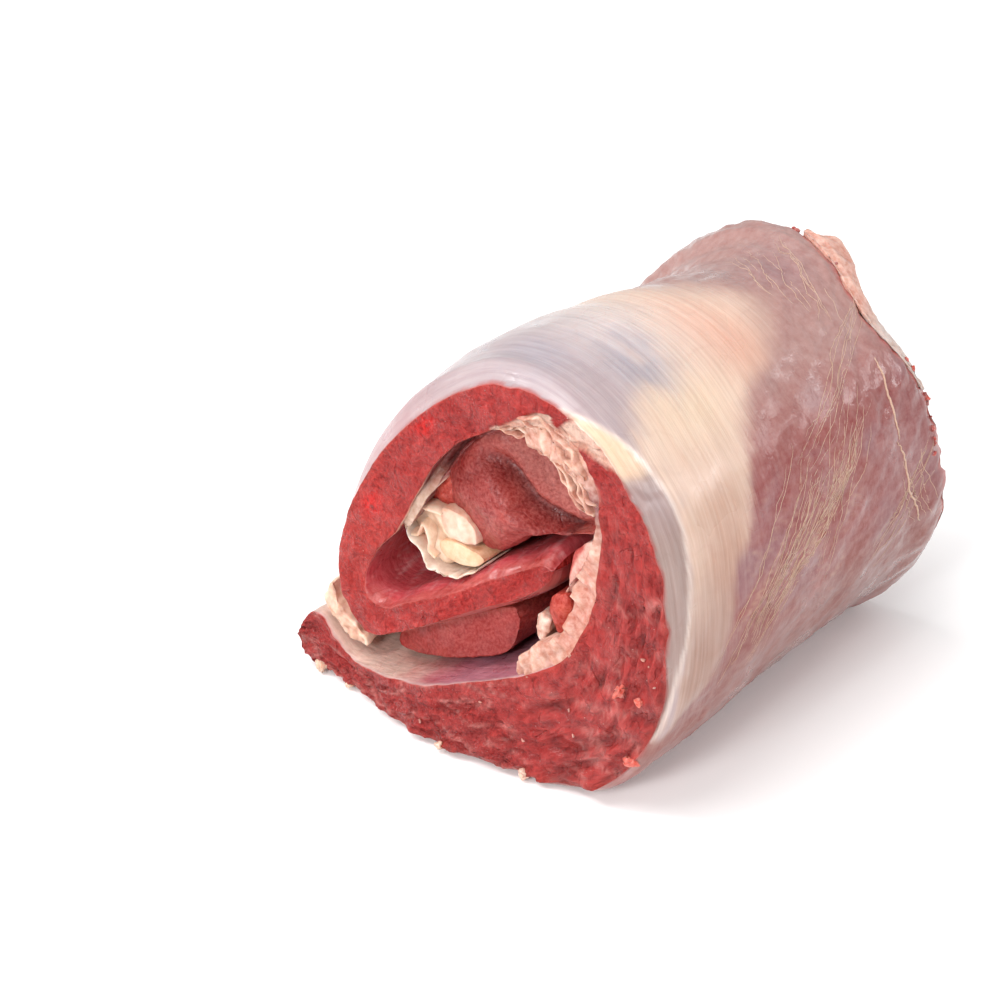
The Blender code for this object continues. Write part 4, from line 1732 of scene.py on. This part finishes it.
@dataclass
class BackFat(Piece):
    """Lumps of fat on the back cut, along its upper right rim.

    Attributes:
        steps: cells along the rim.
        layers: cells across the sheet.
        depth: cells from the cut outwards.
        share_from: where it begins across the sheet.
        share_to: where it ends.
        gap: from the cut, negative inside the muscle.
        grain: noise of its lumps and colours.
    """

    steps: int = 90
    layers: int = 18
    depth: int = 12
    share_from: float = 0.42
    share_to: float = 0.97
    gap: float = -2.5
    grain: Grain = field(default_factory=lambda: Grain(61))

    def build(self) -> bpy.types.Object:
        """Makes the lumps.

        Returns:
            The fat.
        """
        rows, _, length = even_steps(np.array(BACK_FAT, float), self.steps)
        cells, quads = block_surface(self.steps, self.layers, self.depth)
        i, j, k = cells.T
        row = on_curve(WRAP, rows[i, 0])
        share = self.share_from + (self.share_to - self.share_from) * j / self.layers
        x, z = section_at(row, share)
        domed = 0.3 + 0.7 * np.sin(math.pi * j / self.layers)
        back = cut_across(BACK_HUMPS, row, share)
        y = ROLL_LENGTH + back + self.gap + (3.0 + 1.1 * rows[i, 1]) * domed * k / self.depth
        draft = draft_of(x, z, y, [quads], i * length)
        spot = columns(x, z, y)
        lumps = self.grain.at(spot, 7.0, 3)
        draft.push(1.0 * lumps - 0.6)
        draft.tint = lay_colours(
            even_coat("cc9484", x),
            # Painted light: paler on the lumps that stand out
            ("dcb2a2", 0.8 * ease(-0.1, 0.6, lumps)),
            ("c9b4ac", ease(16.6, 15.8, rows[i, 0])),
        )
        return self.put_in(draft, SEAM_FAT)


@dataclass(frozen=True)
class Strand:
    """A bundle of tendon threads that lies on the silverskin.

    Attributes:
        path: row of the sheet and y of places along it.
        radius: of a thread, in millimetres.
        threads: number of threads.
    """

    path: Places
    radius: float = 0.22
    threads: int = 3


class NodeTree:
    """A Geometry Nodes tree that is being written, with named inputs."""

    def __init__(self, name: str, inputs: dict[str, str]) -> None:
        """Starts a tree.

        Args:
            name: of the tree.
            inputs: socket type by input name, after the geometry.
        """
        self.tree = bpy.data.node_groups.new(name, "GeometryNodeTree")
        face = self.tree.interface
        face.new_socket("Geometry", in_out="INPUT", socket_type="NodeSocketGeometry")
        for label, kind in inputs.items():
            face.new_socket(label, in_out="INPUT", socket_type=kind)
        face.new_socket("Geometry", in_out="OUTPUT", socket_type="NodeSocketGeometry")
        self.given = self.tree.nodes.new("NodeGroupInput").outputs

    def add(self, kind: str, settings: Settings = None, links: Links = None) -> bpy.types.Node:
        """Adds a node: its settings and links are those of add_node."""
        return add_node(self.tree, kind, settings, links)

    def read(self, name: str, kind: str = "FLOAT") -> Socket:
        """The values of a named attribute."""
        return self.add("GeometryNodeInputNamedAttribute", {"data_type": kind, "Name": name}).outputs[0]

    def cling(self, shape: Socket) -> Socket:
        """Moves every point of a shape to the nearest place on the sheet."""
        sheet = self.add(
            "GeometryNodeObjectInfo", {"transform_space": "RELATIVE"},
            {"Object": self.given["Sheet"]},
        )
        nearest = self.add(
            "GeometryNodeProximity", {"target_element": "FACES"}, {0: sheet.outputs["Geometry"]}
        )
        return self.add(
            "GeometryNodeSetPosition", {},
            {"Geometry": shape, "Position": nearest.outputs["Position"]},
        ).outputs[0]

    def shake(self, scale: float, links: Links = None) -> Socket:
        """A smooth random vector about zero: its scale and links are those of the noise."""
        noise = self.add("ShaderNodeTexNoise", {"Scale": scale, "Detail": 1.0}, links)
        return self.add(
            "ShaderNodeVectorMath", {"operation": "SUBTRACT", 1: (0.5, 0.5, 0.5)},
            {0: noise.outputs["Color"]},
        ).outputs[0]

    def finish(self, shape: Socket) -> None:
        """Realizes the instances, sets the material and closes the tree.

        Args:
            shape: the geometry so far.
        """
        smooth = self.add("GeometryNodeSetShadeSmooth", {}, {"Geometry": shape})
        whole = self.add("GeometryNodeRealizeInstances", {}, {"Geometry": smooth.outputs[0]})
        dressed = self.add(
            "GeometryNodeSetMaterial", {},
            {"Geometry": whole.outputs[0], "Material": self.given["Material"]},
        )
        self.add("NodeGroupOutput", {}, {"Geometry": dressed.outputs[0]})

    def grow(self, name: str, mesh: bpy.types.Mesh, values: dict[str, object]) -> bpy.types.Object:
        """Runs the tree on a mesh and keeps the result as a plain mesh.

        Args:
            name: of the new object.
            mesh: the guide that the tree starts from.
            values: value by input name.

        Returns:
            The finished object.
        """
        guide = add_object(name + "_guide", mesh)
        modifier = guide.modifiers.new("grow", "NODES")
        modifier.node_group = self.tree
        for item in self.tree.interface.items_tree:
            if item.in_out == "INPUT" and item.name in values:
                modifier[item.identifier] = values[item.name]
        graph = bpy.context.evaluated_depsgraph_get()
        plain = bpy.data.meshes.new_from_object(guide.evaluated_get(graph))
        guide.modifiers.clear()
        bpy.data.objects.remove(guide)
        plain.name = name
        places = np.empty(len(plain.vertices) * 3)
        plain.vertices.foreach_get("co", places)
        low, high = (np.array(corner) for corner in CAD_BOX)
        places = np.clip(places.reshape(-1, 3), low, high)
        plain.vertices.foreach_set("co", places.ravel())
        plain.update()
        return add_object(name, plain)


def guide_mesh(
    name: str, points: Array, edges: list[tuple[int, int]], values: dict[str, Array]
) -> bpy.types.Mesh:
    """Makes a mesh of points and edges that a tree grows something on.

    Args:
        name: of the mesh.
        points: places in the object frame, in millimetres.
        edges: pairs of point numbers.
        values: numbers or linear colours for each point by attribute name.

    Returns:
        The mesh.
    """
    mesh = bpy.data.meshes.new(name)
    mesh.from_pydata((points * MM).tolist(), edges, [])
    for label, numbers in values.items():
        give_values(mesh, label, numbers)
    return mesh


@dataclass
class TendonStrands:
    """Fine threads of tendon on the back half, grown by Geometry Nodes along guides.

    Attributes:
        strands: the bundles.
        spread: how far a bundle's threads part, in millimetres.
        places: points along a guide.
        tint: hex of the threads.
        seed: of where the threads go.
    """

    strands: tuple[Strand, ...]
    spread: float = 12.0
    places: int = 40
    tint: str = "caa692"
    seed: int = 5

    def tree(self) -> NodeTree:
        """Writes the tree: copies of each guide part, wander, cling to the sheet and thicken."""
        made = NodeTree("tendon_threads", {
            "Sheet": "NodeSocketObject", "Spread": "NodeSocketFloat", "Seed": "NodeSocketInt",
            "Material": "NodeSocketMaterial",
        })
        given = made.given
        curve = made.add("GeometryNodeMeshToCurve", {}, {"Mesh": given["Geometry"]})
        copies = made.add(
            "GeometryNodeDuplicateElements", {"domain": "SPLINE"},
            {"Geometry": curve.outputs[0], "Amount": made.read("threads")},
        )
        draw = made.add(
            "FunctionNodeRandomValue",
            {"data_type": "FLOAT_VECTOR", "Min": (-1, -1, -1), "Max": (1, 1, 1)},
            {"Seed": given["Seed"]},
        )
        whole = made.add(
            "GeometryNodeFieldOnDomain", {"domain": "CURVE", "data_type": "FLOAT_VECTOR"},
            {0: draw.outputs[0]},
        )
        place_of = made.add("GeometryNodeInputPosition")
        moved = made.add(
            "ShaderNodeVectorMath", {"operation": "ADD"},
            {0: place_of.outputs[0], 1: whole.outputs[0]},
        )
        wander = made.shake(40.0, {"Vector": moved.outputs[0]})
        both = made.add(
            "ShaderNodeVectorMath", {"operation": "ADD"}, {0: whole.outputs[0], 1: wander},
        )
        scaled = made.add(
            "ShaderNodeVectorMath", {"operation": "SCALE"},
            {0: both.outputs[0], "Scale": given["Spread"]},
        )
        apart = made.add(
            "GeometryNodeSetPosition", {}, {"Geometry": copies.outputs[0], "Offset": scaled.outputs[0]}
        )
        taper = made.add("GeometryNodeSetCurveRadius", {}, {
            "Curve": made.cling(apart.outputs[0]), "Radius": made.read("radius"),
        })
        ring = made.add("GeometryNodeCurvePrimitiveCircle", {"Resolution": 5, "Radius": 1.0})
        tubes = made.add(
            "GeometryNodeCurveToMesh", {"Fill Caps": True},
            {"Curve": taper.outputs[0], "Profile Curve": ring.outputs[0]},
        )
        if "Scale" in tubes.inputs:
            made.tree.links.new(made.read("radius"), tubes.inputs["Scale"])
        made.finish(tubes.outputs[0])
        return made

    def build(self, sheet: bpy.types.Object) -> bpy.types.Object:
        """Grows the threads.

        Args:
            sheet: the outer muscle that they lie on.

        Returns:
            All the threads as one piece.
        """
        points, edges, radii, threads = [], [], [], []
        for strand in self.strands:
            stations = np.array(strand.path, float)
            u = np.linspace(0, 1, self.places)
            way = on_curve(stations, u * (len(stations) - 1))
            face = on_curve(WRAP, way[:, 0])
            first = len(points) * self.places
            points.append(place(face[:, 0], face[:, 1], way[:, 1]))
            edges += [(first + k, first + k + 1) for k in range(self.places - 1)]
            radii.append(strand.radius * MM * np.sqrt(np.sin(np.pi * (0.02 + 0.96 * u))))
            threads.append(np.full(self.places, float(strand.threads)))
        count = len(points) * self.places
        mesh = guide_mesh("tendon_guides", np.concatenate(points), edges, {
            "radius": np.concatenate(radii), "threads": np.concatenate(threads),
            "tint": even_coat(self.tint, range(count)),
        })
        grown = self.tree().grow("tendon_threads", mesh, {
            "Sheet": sheet, "Spread": self.spread * MM / 1.5, "Seed": self.seed,
            "Material": TENDON.make(),
        })
        return hang(grown, "outer_muscle")


@dataclass(frozen=True)
class Fleck:
    """A crumb on the sheet.

    Attributes:
        row: place along the sheet.
        share: place across it, 0 inside and 1 outside.
        y: behind the front cut.
        size: half its length, in millimetres.
        tint: hex of its colour.
    """

    row: float
    share: float
    y: float
    size: float
    tint: str


@dataclass
class Crumbs:
    """Torn crumbs of fat and muscle on the cuts, grown by Geometry Nodes on points.

    Attributes:
        flecks: crumbs with a place of their own.
        specks: number of tiny fat specks strewn over the front cut.
        nubs: number of torn red nubs along the back rim.
        seed: of sizes, turns and places.
    """

    flecks: tuple[Fleck, ...]
    specks: int = 110
    nubs: int = 60
    seed: int = 9

    def strewn(self) -> list[Fleck]:
        """Draws the specks of the front cut and the nubs of the back rim."""
        draw = np.random.default_rng(self.seed)
        found = []
        for _ in range(self.specks):
            row = draw.choice((draw.uniform(2, 14), draw.uniform(17.8, 35)), p=(0.8, 0.2))
            found.append(Fleck(row, draw.uniform(0.08, 0.92), 0.0, draw.uniform(0.12, 0.3),
                               draw.choice(("a85a52", "9c4a46", "b87468"))))
        for _ in range(self.nubs):
            row = draw.uniform(12.6, 19.4)
            found.append(Fleck(row, 0.97, ROLL_LENGTH + 12 * math.exp(-(((row - 17) / 2.5) ** 2)),
                               draw.uniform(0.7, 1.9), draw.choice(("a8322c", "bc4a3e", "8e2422"))))
        return found

    def tree(self) -> NodeTree:
        """Writes the tree: points cling to the sheet, take a turned lump each and roughen."""
        made = NodeTree("crumbs", {
            "Sheet": "NodeSocketObject", "Roughness": "NodeSocketFloat", "Seed": "NodeSocketInt",
            "Material": "NodeSocketMaterial",
        })
        given = made.given
        lump = made.add("GeometryNodeMeshIcoSphere", {"Radius": 1.0, "Subdivisions": 3})
        turn = made.add(
            "FunctionNodeRandomValue",
            {"data_type": "FLOAT_VECTOR", "Min": (0, 0, 0), "Max": (6.28, 6.28, 6.28)},
            {"Seed": given["Seed"]},
        )
        sides = made.add(
            "FunctionNodeRandomValue",
            {"data_type": "FLOAT_VECTOR", "Min": (0.45, 0.5, 0.8), "Max": (0.75, 0.8, 1.1)},
            {"Seed": given["Seed"]},
        )
        scale = made.add(
            "ShaderNodeVectorMath", {"operation": "SCALE"},
            {0: sides.outputs[0], "Scale": made.read("size")},
        )
        placed = made.add("GeometryNodeInstanceOnPoints", {}, {
            "Points": made.cling(given["Geometry"]), "Instance": lump.outputs["Mesh"],
            "Rotation": turn.outputs[0], "Scale": scale.outputs[0],
        })
        whole = made.add("GeometryNodeRealizeInstances", {}, {"Geometry": placed.outputs[0]})
        strength = made.add(
            "ShaderNodeMath", {"operation": "MULTIPLY"},
            {0: made.read("size"), 1: given["Roughness"]},
        )
        offset = made.add(
            "ShaderNodeVectorMath", {"operation": "SCALE"},
            {0: made.shake(700.0), "Scale": strength.outputs[0]},
        )
        torn = made.add(
            "GeometryNodeSetPosition", {}, {"Geometry": whole.outputs[0], "Offset": offset.outputs[0]}
        )
        made.finish(torn.outputs[0])
        return made

    def build(self, sheet: bpy.types.Object) -> bpy.types.Object:
        """Grows the crumbs.

        Args:
            sheet: the outer muscle that they lie on.

        Returns:
            All the crumbs as one piece.
        """
        flecks = list(self.flecks) + self.strewn()
        row = np.array([fleck.row for fleck in flecks])
        share = np.array([fleck.share for fleck in flecks])
        x, z = section_at(on_curve(WRAP, row), share)
        y = np.array([fleck.y for fleck in flecks]) + cut_stands(FRONT_HUMPS, x, z)
        mesh = guide_mesh("crumb_points", place(x, z, y), [], {
            "size": np.array([fleck.size for fleck in flecks]) * MM,
            "tint": np.array([linear(fleck.tint) for fleck in flecks]),
        })
        grown = self.tree().grow("crumbs", mesh, {
            "Sheet": sheet, "Roughness": 1.1, "Seed": self.seed, "Material": SEAM_FAT.make(),
        })
        return hang(grown, "outer_muscle")


@dataclass(frozen=True)
class Studio:
    """Pale floor, soft light and the camera.

    Attributes:
        aim: where the camera looks, in metres.
        distance: from there to the camera.
        azimuth: of the camera, in degrees.
        elevation: of the camera.
        lens: focal length on a 36 mm sensor.
    """

    aim: tuple[float, float, float] = (-0.0842, 0.0331, 0.0198)
    distance: float = 1.0505
    azimuth: float = 40.0
    elevation: float = 30.0
    lens: float = 93.6

    def add_floor(self) -> None:
        """Lays a large matt white sheet under the roll."""
        half = 6.0
        mesh = bpy.data.meshes.new("floor")
        corners = ((-half, -half), (half, -half), (half, half), (-half, half))
        mesh.from_pydata([(x, y, -0.0002) for x, y in corners], [], [(0, 1, 2, 3)])
        paper = bpy.data.materials.new("matt_white_paper")
        paper.use_nodes = True
        shader = paper.node_tree.nodes["Principled BSDF"]
        shader.inputs["Base Color"].default_value = rgba("fafafa")
        shader.inputs["Roughness"].default_value = 0.9
        shader.inputs["Specular IOR Level"].default_value = 0.0
        mesh.materials.append(paper)
        add_object("floor", mesh)

    def set_up(self, data: bpy.types.ID, place_at: Vector, aim: Vector) -> bpy.types.Object:
        """Stands a lamp or camera at a place.

        Args:
            data: the lamp or camera.
            place_at: in metres.
            aim: the direction that it faces.

        Returns:
            Its object.
        """
        obj = add_object(data.name, data)
        obj.location = place_at
        obj.rotation_mode = "QUATERNION"
        obj.rotation_quaternion = aim.to_track_quat("-Z", "Y")
        return obj

    def add_area(self, name: str, place_at: tuple[float, float, float], size: float,
                 power: float) -> None:
        """Hangs a square soft light that faces the roll.

        Args:
            name: the light's name.
            place_at: its middle, in metres.
            size: its side, in metres.
            power: in watts.
        """
        lamp = bpy.data.lights.new(name, "AREA")
        lamp.size = size
        lamp.energy = power
        self.set_up(lamp, Vector(place_at), Vector((0.0, 0.0, 0.07)) - Vector(place_at))

    def add_lights(self) -> None:
        """A white room with a wide soft sky light and four softboxes."""
        world = bpy.data.worlds.new("white_room")
        bpy.context.scene.world = world
        world.use_nodes = True
        back = world.node_tree.nodes["Background"]
        back.inputs["Color"].default_value = rgba("ffffff")
        back.inputs["Strength"].default_value = 0.5
        sun = bpy.data.lights.new("wide_sky", "SUN")
        sun.energy = 1.7
        sun.angle = math.radians(40)
        self.set_up(sun, Vector((0.0, 0.0, 0.0)), Vector((0.25, 0.35, -1.0)))
        self.add_area("front_softbox", (0.25, -1.15, 0.7), 0.3, 9.5)
        self.add_area("left_softbox", (-0.9, -0.7, 0.9), 0.25, 5.0)
        self.add_area("right_softbox", (1.1, 0.35, 0.8), 0.25, 3.6)
        self.add_area("back_softbox", (0.85, 0.9, 0.5), 0.3, 2.0)

    def add_camera(self) -> None:
        """Sets up the camera at the photograph's angle."""
        a, e = math.radians(self.azimuth), math.radians(self.elevation)
        back = Vector((math.sin(a) * math.cos(e), -math.cos(a) * math.cos(e), math.sin(e)))
        data = bpy.data.cameras.new("camera")
        data.lens = self.lens
        data.sensor_width = 36.0
        place_at = Vector(self.aim) + back * self.distance
        bpy.context.scene.camera = self.set_up(data, place_at, -back)

    def build(self) -> None:
        """Sets up floor, lights, camera and a plain view of the colours."""
        self.add_floor()
        self.add_lights()
        self.add_camera()
        bpy.context.scene.view_settings.view_transform = "Standard"
        bpy.context.scene.view_settings.look = "None"


def write_sizes() -> None:
    """Updates the view layer."""
    bpy.context.view_layer.update()


def build_fat_frills() -> None:
    """Lays the ruffled fat along the upper right of the roll's inside."""
    for number, path in enumerate(FRILLS):
        Ribbon(
            f"fat_frill_{number + 1}", "fat_seam", Slot.WHITE_FAT, path,
            (3.2 - number, 24.0), 1.9, 1.9, 6.5, SEAM_FAT, Grain(71 + number),
        ).build()


def build_cream_fold() -> None:
    """Folds the cream fat on the left of the roll's inside."""
    shared = ("fat_fold", Slot.CREAM_FAT)
    FatLump(
        "cream_fat_body", *shared, FOLD_OUTLINE, 120, 44, 24, (20.0, 8.0), 3.0, FOLD_FAT,
        Grain(51),
    ).build()
    FatLump(
        "cream_fat_front", *shared, FOLD_FRONT, 130, 16, 26, (7.5, 128.0), 2.0, FOLD_FAT,
        Grain(54), ground="dcb89c", crests="eed2bc", hollows="b88870", fold_height=2.2,
        fold_size=8.0,
    ).build()
    FatLump(
        "pink_fat_lobe", *shared, LOBE_OUTLINE, 80, 20, 14, (4.5, 128.0), 1.2, FOLD_FAT,
        Grain(55), ground="deb29c", crests="ecccba", hollows="cc9480", fold_size=7.0,
    ).build()
    FatLump(
        "yellow_fat_plate", *shared, PLATE_OUTLINE, 80, 20, 12, (4.5, 132.0), 1.0, FOLD_FAT,
        Grain(56), ground="e2b894", crests="edcdae", hollows="cc9874", fold_size=9.0,
        fold_height=0.6,
    ).build()
    Ribbon(
        "curled_fat", *shared, CURL, (4.5, 22.0), 2.0, 0.6, 9.0, FOLD_FAT, Grain(57),
        ground="deb89c", crests="f2d8c4",
    ).build()
    Ribbon(
        "thin_fat_edge", *shared, THIN_EDGE, (3.5, 20.0), 1.2, 1.2, 6.5, FOLD_FAT, Grain(58),
        ground="ccb4a4", crests="ead8cc",
    ).build()


def build_torn_bits() -> None:
    """Adds the torn ends of muscle and the fat crumb that show in the roll's inside."""
    red = {"ground": "b03426", "crests": "c85844", "hollows": "861c16"}
    FatLump(
        "torn_inner_muscle", "inner_core", Slot.INNER_MUSCLE, TORN_OUTLINE, 80, 20, 14,
        (9.0, 125.0), 2.5, INNER_VEAL, Grain(47), **red,
    ).build()
    FatLump(
        "right_strip_end", "inner_side", Slot.INNER_MUSCLE, RED_END, 80, 20, 14, (3.0, 135.0),
        2.5, INNER_VEAL, Grain(48), **red,
    ).build()
    FatLump(
        "white_fat_crumb", "fat_seam", Slot.WHITE_FAT, WHITE_CRUMB, 70, 20, 12, (6.0, 140.0),
        2.0, SEAM_FAT, Grain(49), ground="dcb4a2", crests="f0d6c8", hollows="c48c7c",
        fold_size=4.0,
    ).build()


def main() -> None:
    """Builds the roll, piece by piece, and the studio round it."""
    logging.basicConfig(level=logging.INFO, format="%(message)s")
    sheet = OuterMuscle("outer_sheet", "outer_muscle", Slot.CUT_MUSCLE).build()
    TendonStrands(
        tuple(Strand(path, 0.12, 6) for path in STRANDS)
        + tuple(Strand(path, 0.5, 1) for path in THICK_STRANDS),
    ).build(sheet)
    flecks = (Fleck(row, share, 0.0, size, tint) for row, share, size, tint in CRUMBS_OF_CUT)
    Crumbs(tuple(flecks)).build(sheet)
    FatSeam(
        "white_fat_between_turns", "fat_seam", Slot.WHITE_FAT, seam_pairs(FAT_SEAM, 1.0, 0.9),
        (300, 8, 44), (1.5, 3.0), SEAM_FAT, Grain(21),
    ).build()
    InnerFlap(
        "low_inner_flap", "inner_flap", Slot.INNER_MUSCLE, INNER_FLAP, (80, 18, 40),
        (18.0, 6.0), INNER_VEAL, Grain(31),
    ).build()
    RolledCore(
        "rolled_inner_muscle", "inner_core", Slot.INNER_MUSCLE, CORE_OUTLINE, 220, 50, 42,
        (6.0, 4.0), 6.0, INNER_VEAL, Grain(41),
    ).build()
    SideStrip(
        "right_inner_strip", "inner_side", Slot.INNER_MUSCLE, SIDE_OUTLINE, 120, 44, 16,
        (3.0, 6.0), 3.0, INNER_VEAL, Grain(43),
    ).build()
    build_fat_frills()
    build_cream_fold()
    build_torn_bits()
    FatLump(
        "crumpled_tail_fat", "tail_fat", Slot.CREAM_FAT, TAIL_OUTLINE, 100, 44, 16,
        (2.0, 6.0), 2.0, FOLD_FAT, Grain(53), ground="dcb49e", crests="efd6c2",
        hollows="b8745f", fold_size=4.5, fold_height=1.6,
    ).build()
    BackFat("back_fat_lumps", "back_fat", Slot.WHITE_FAT).build()
    Studio().build()
    write_sizes()


if __name__ == "__main__":
    main()
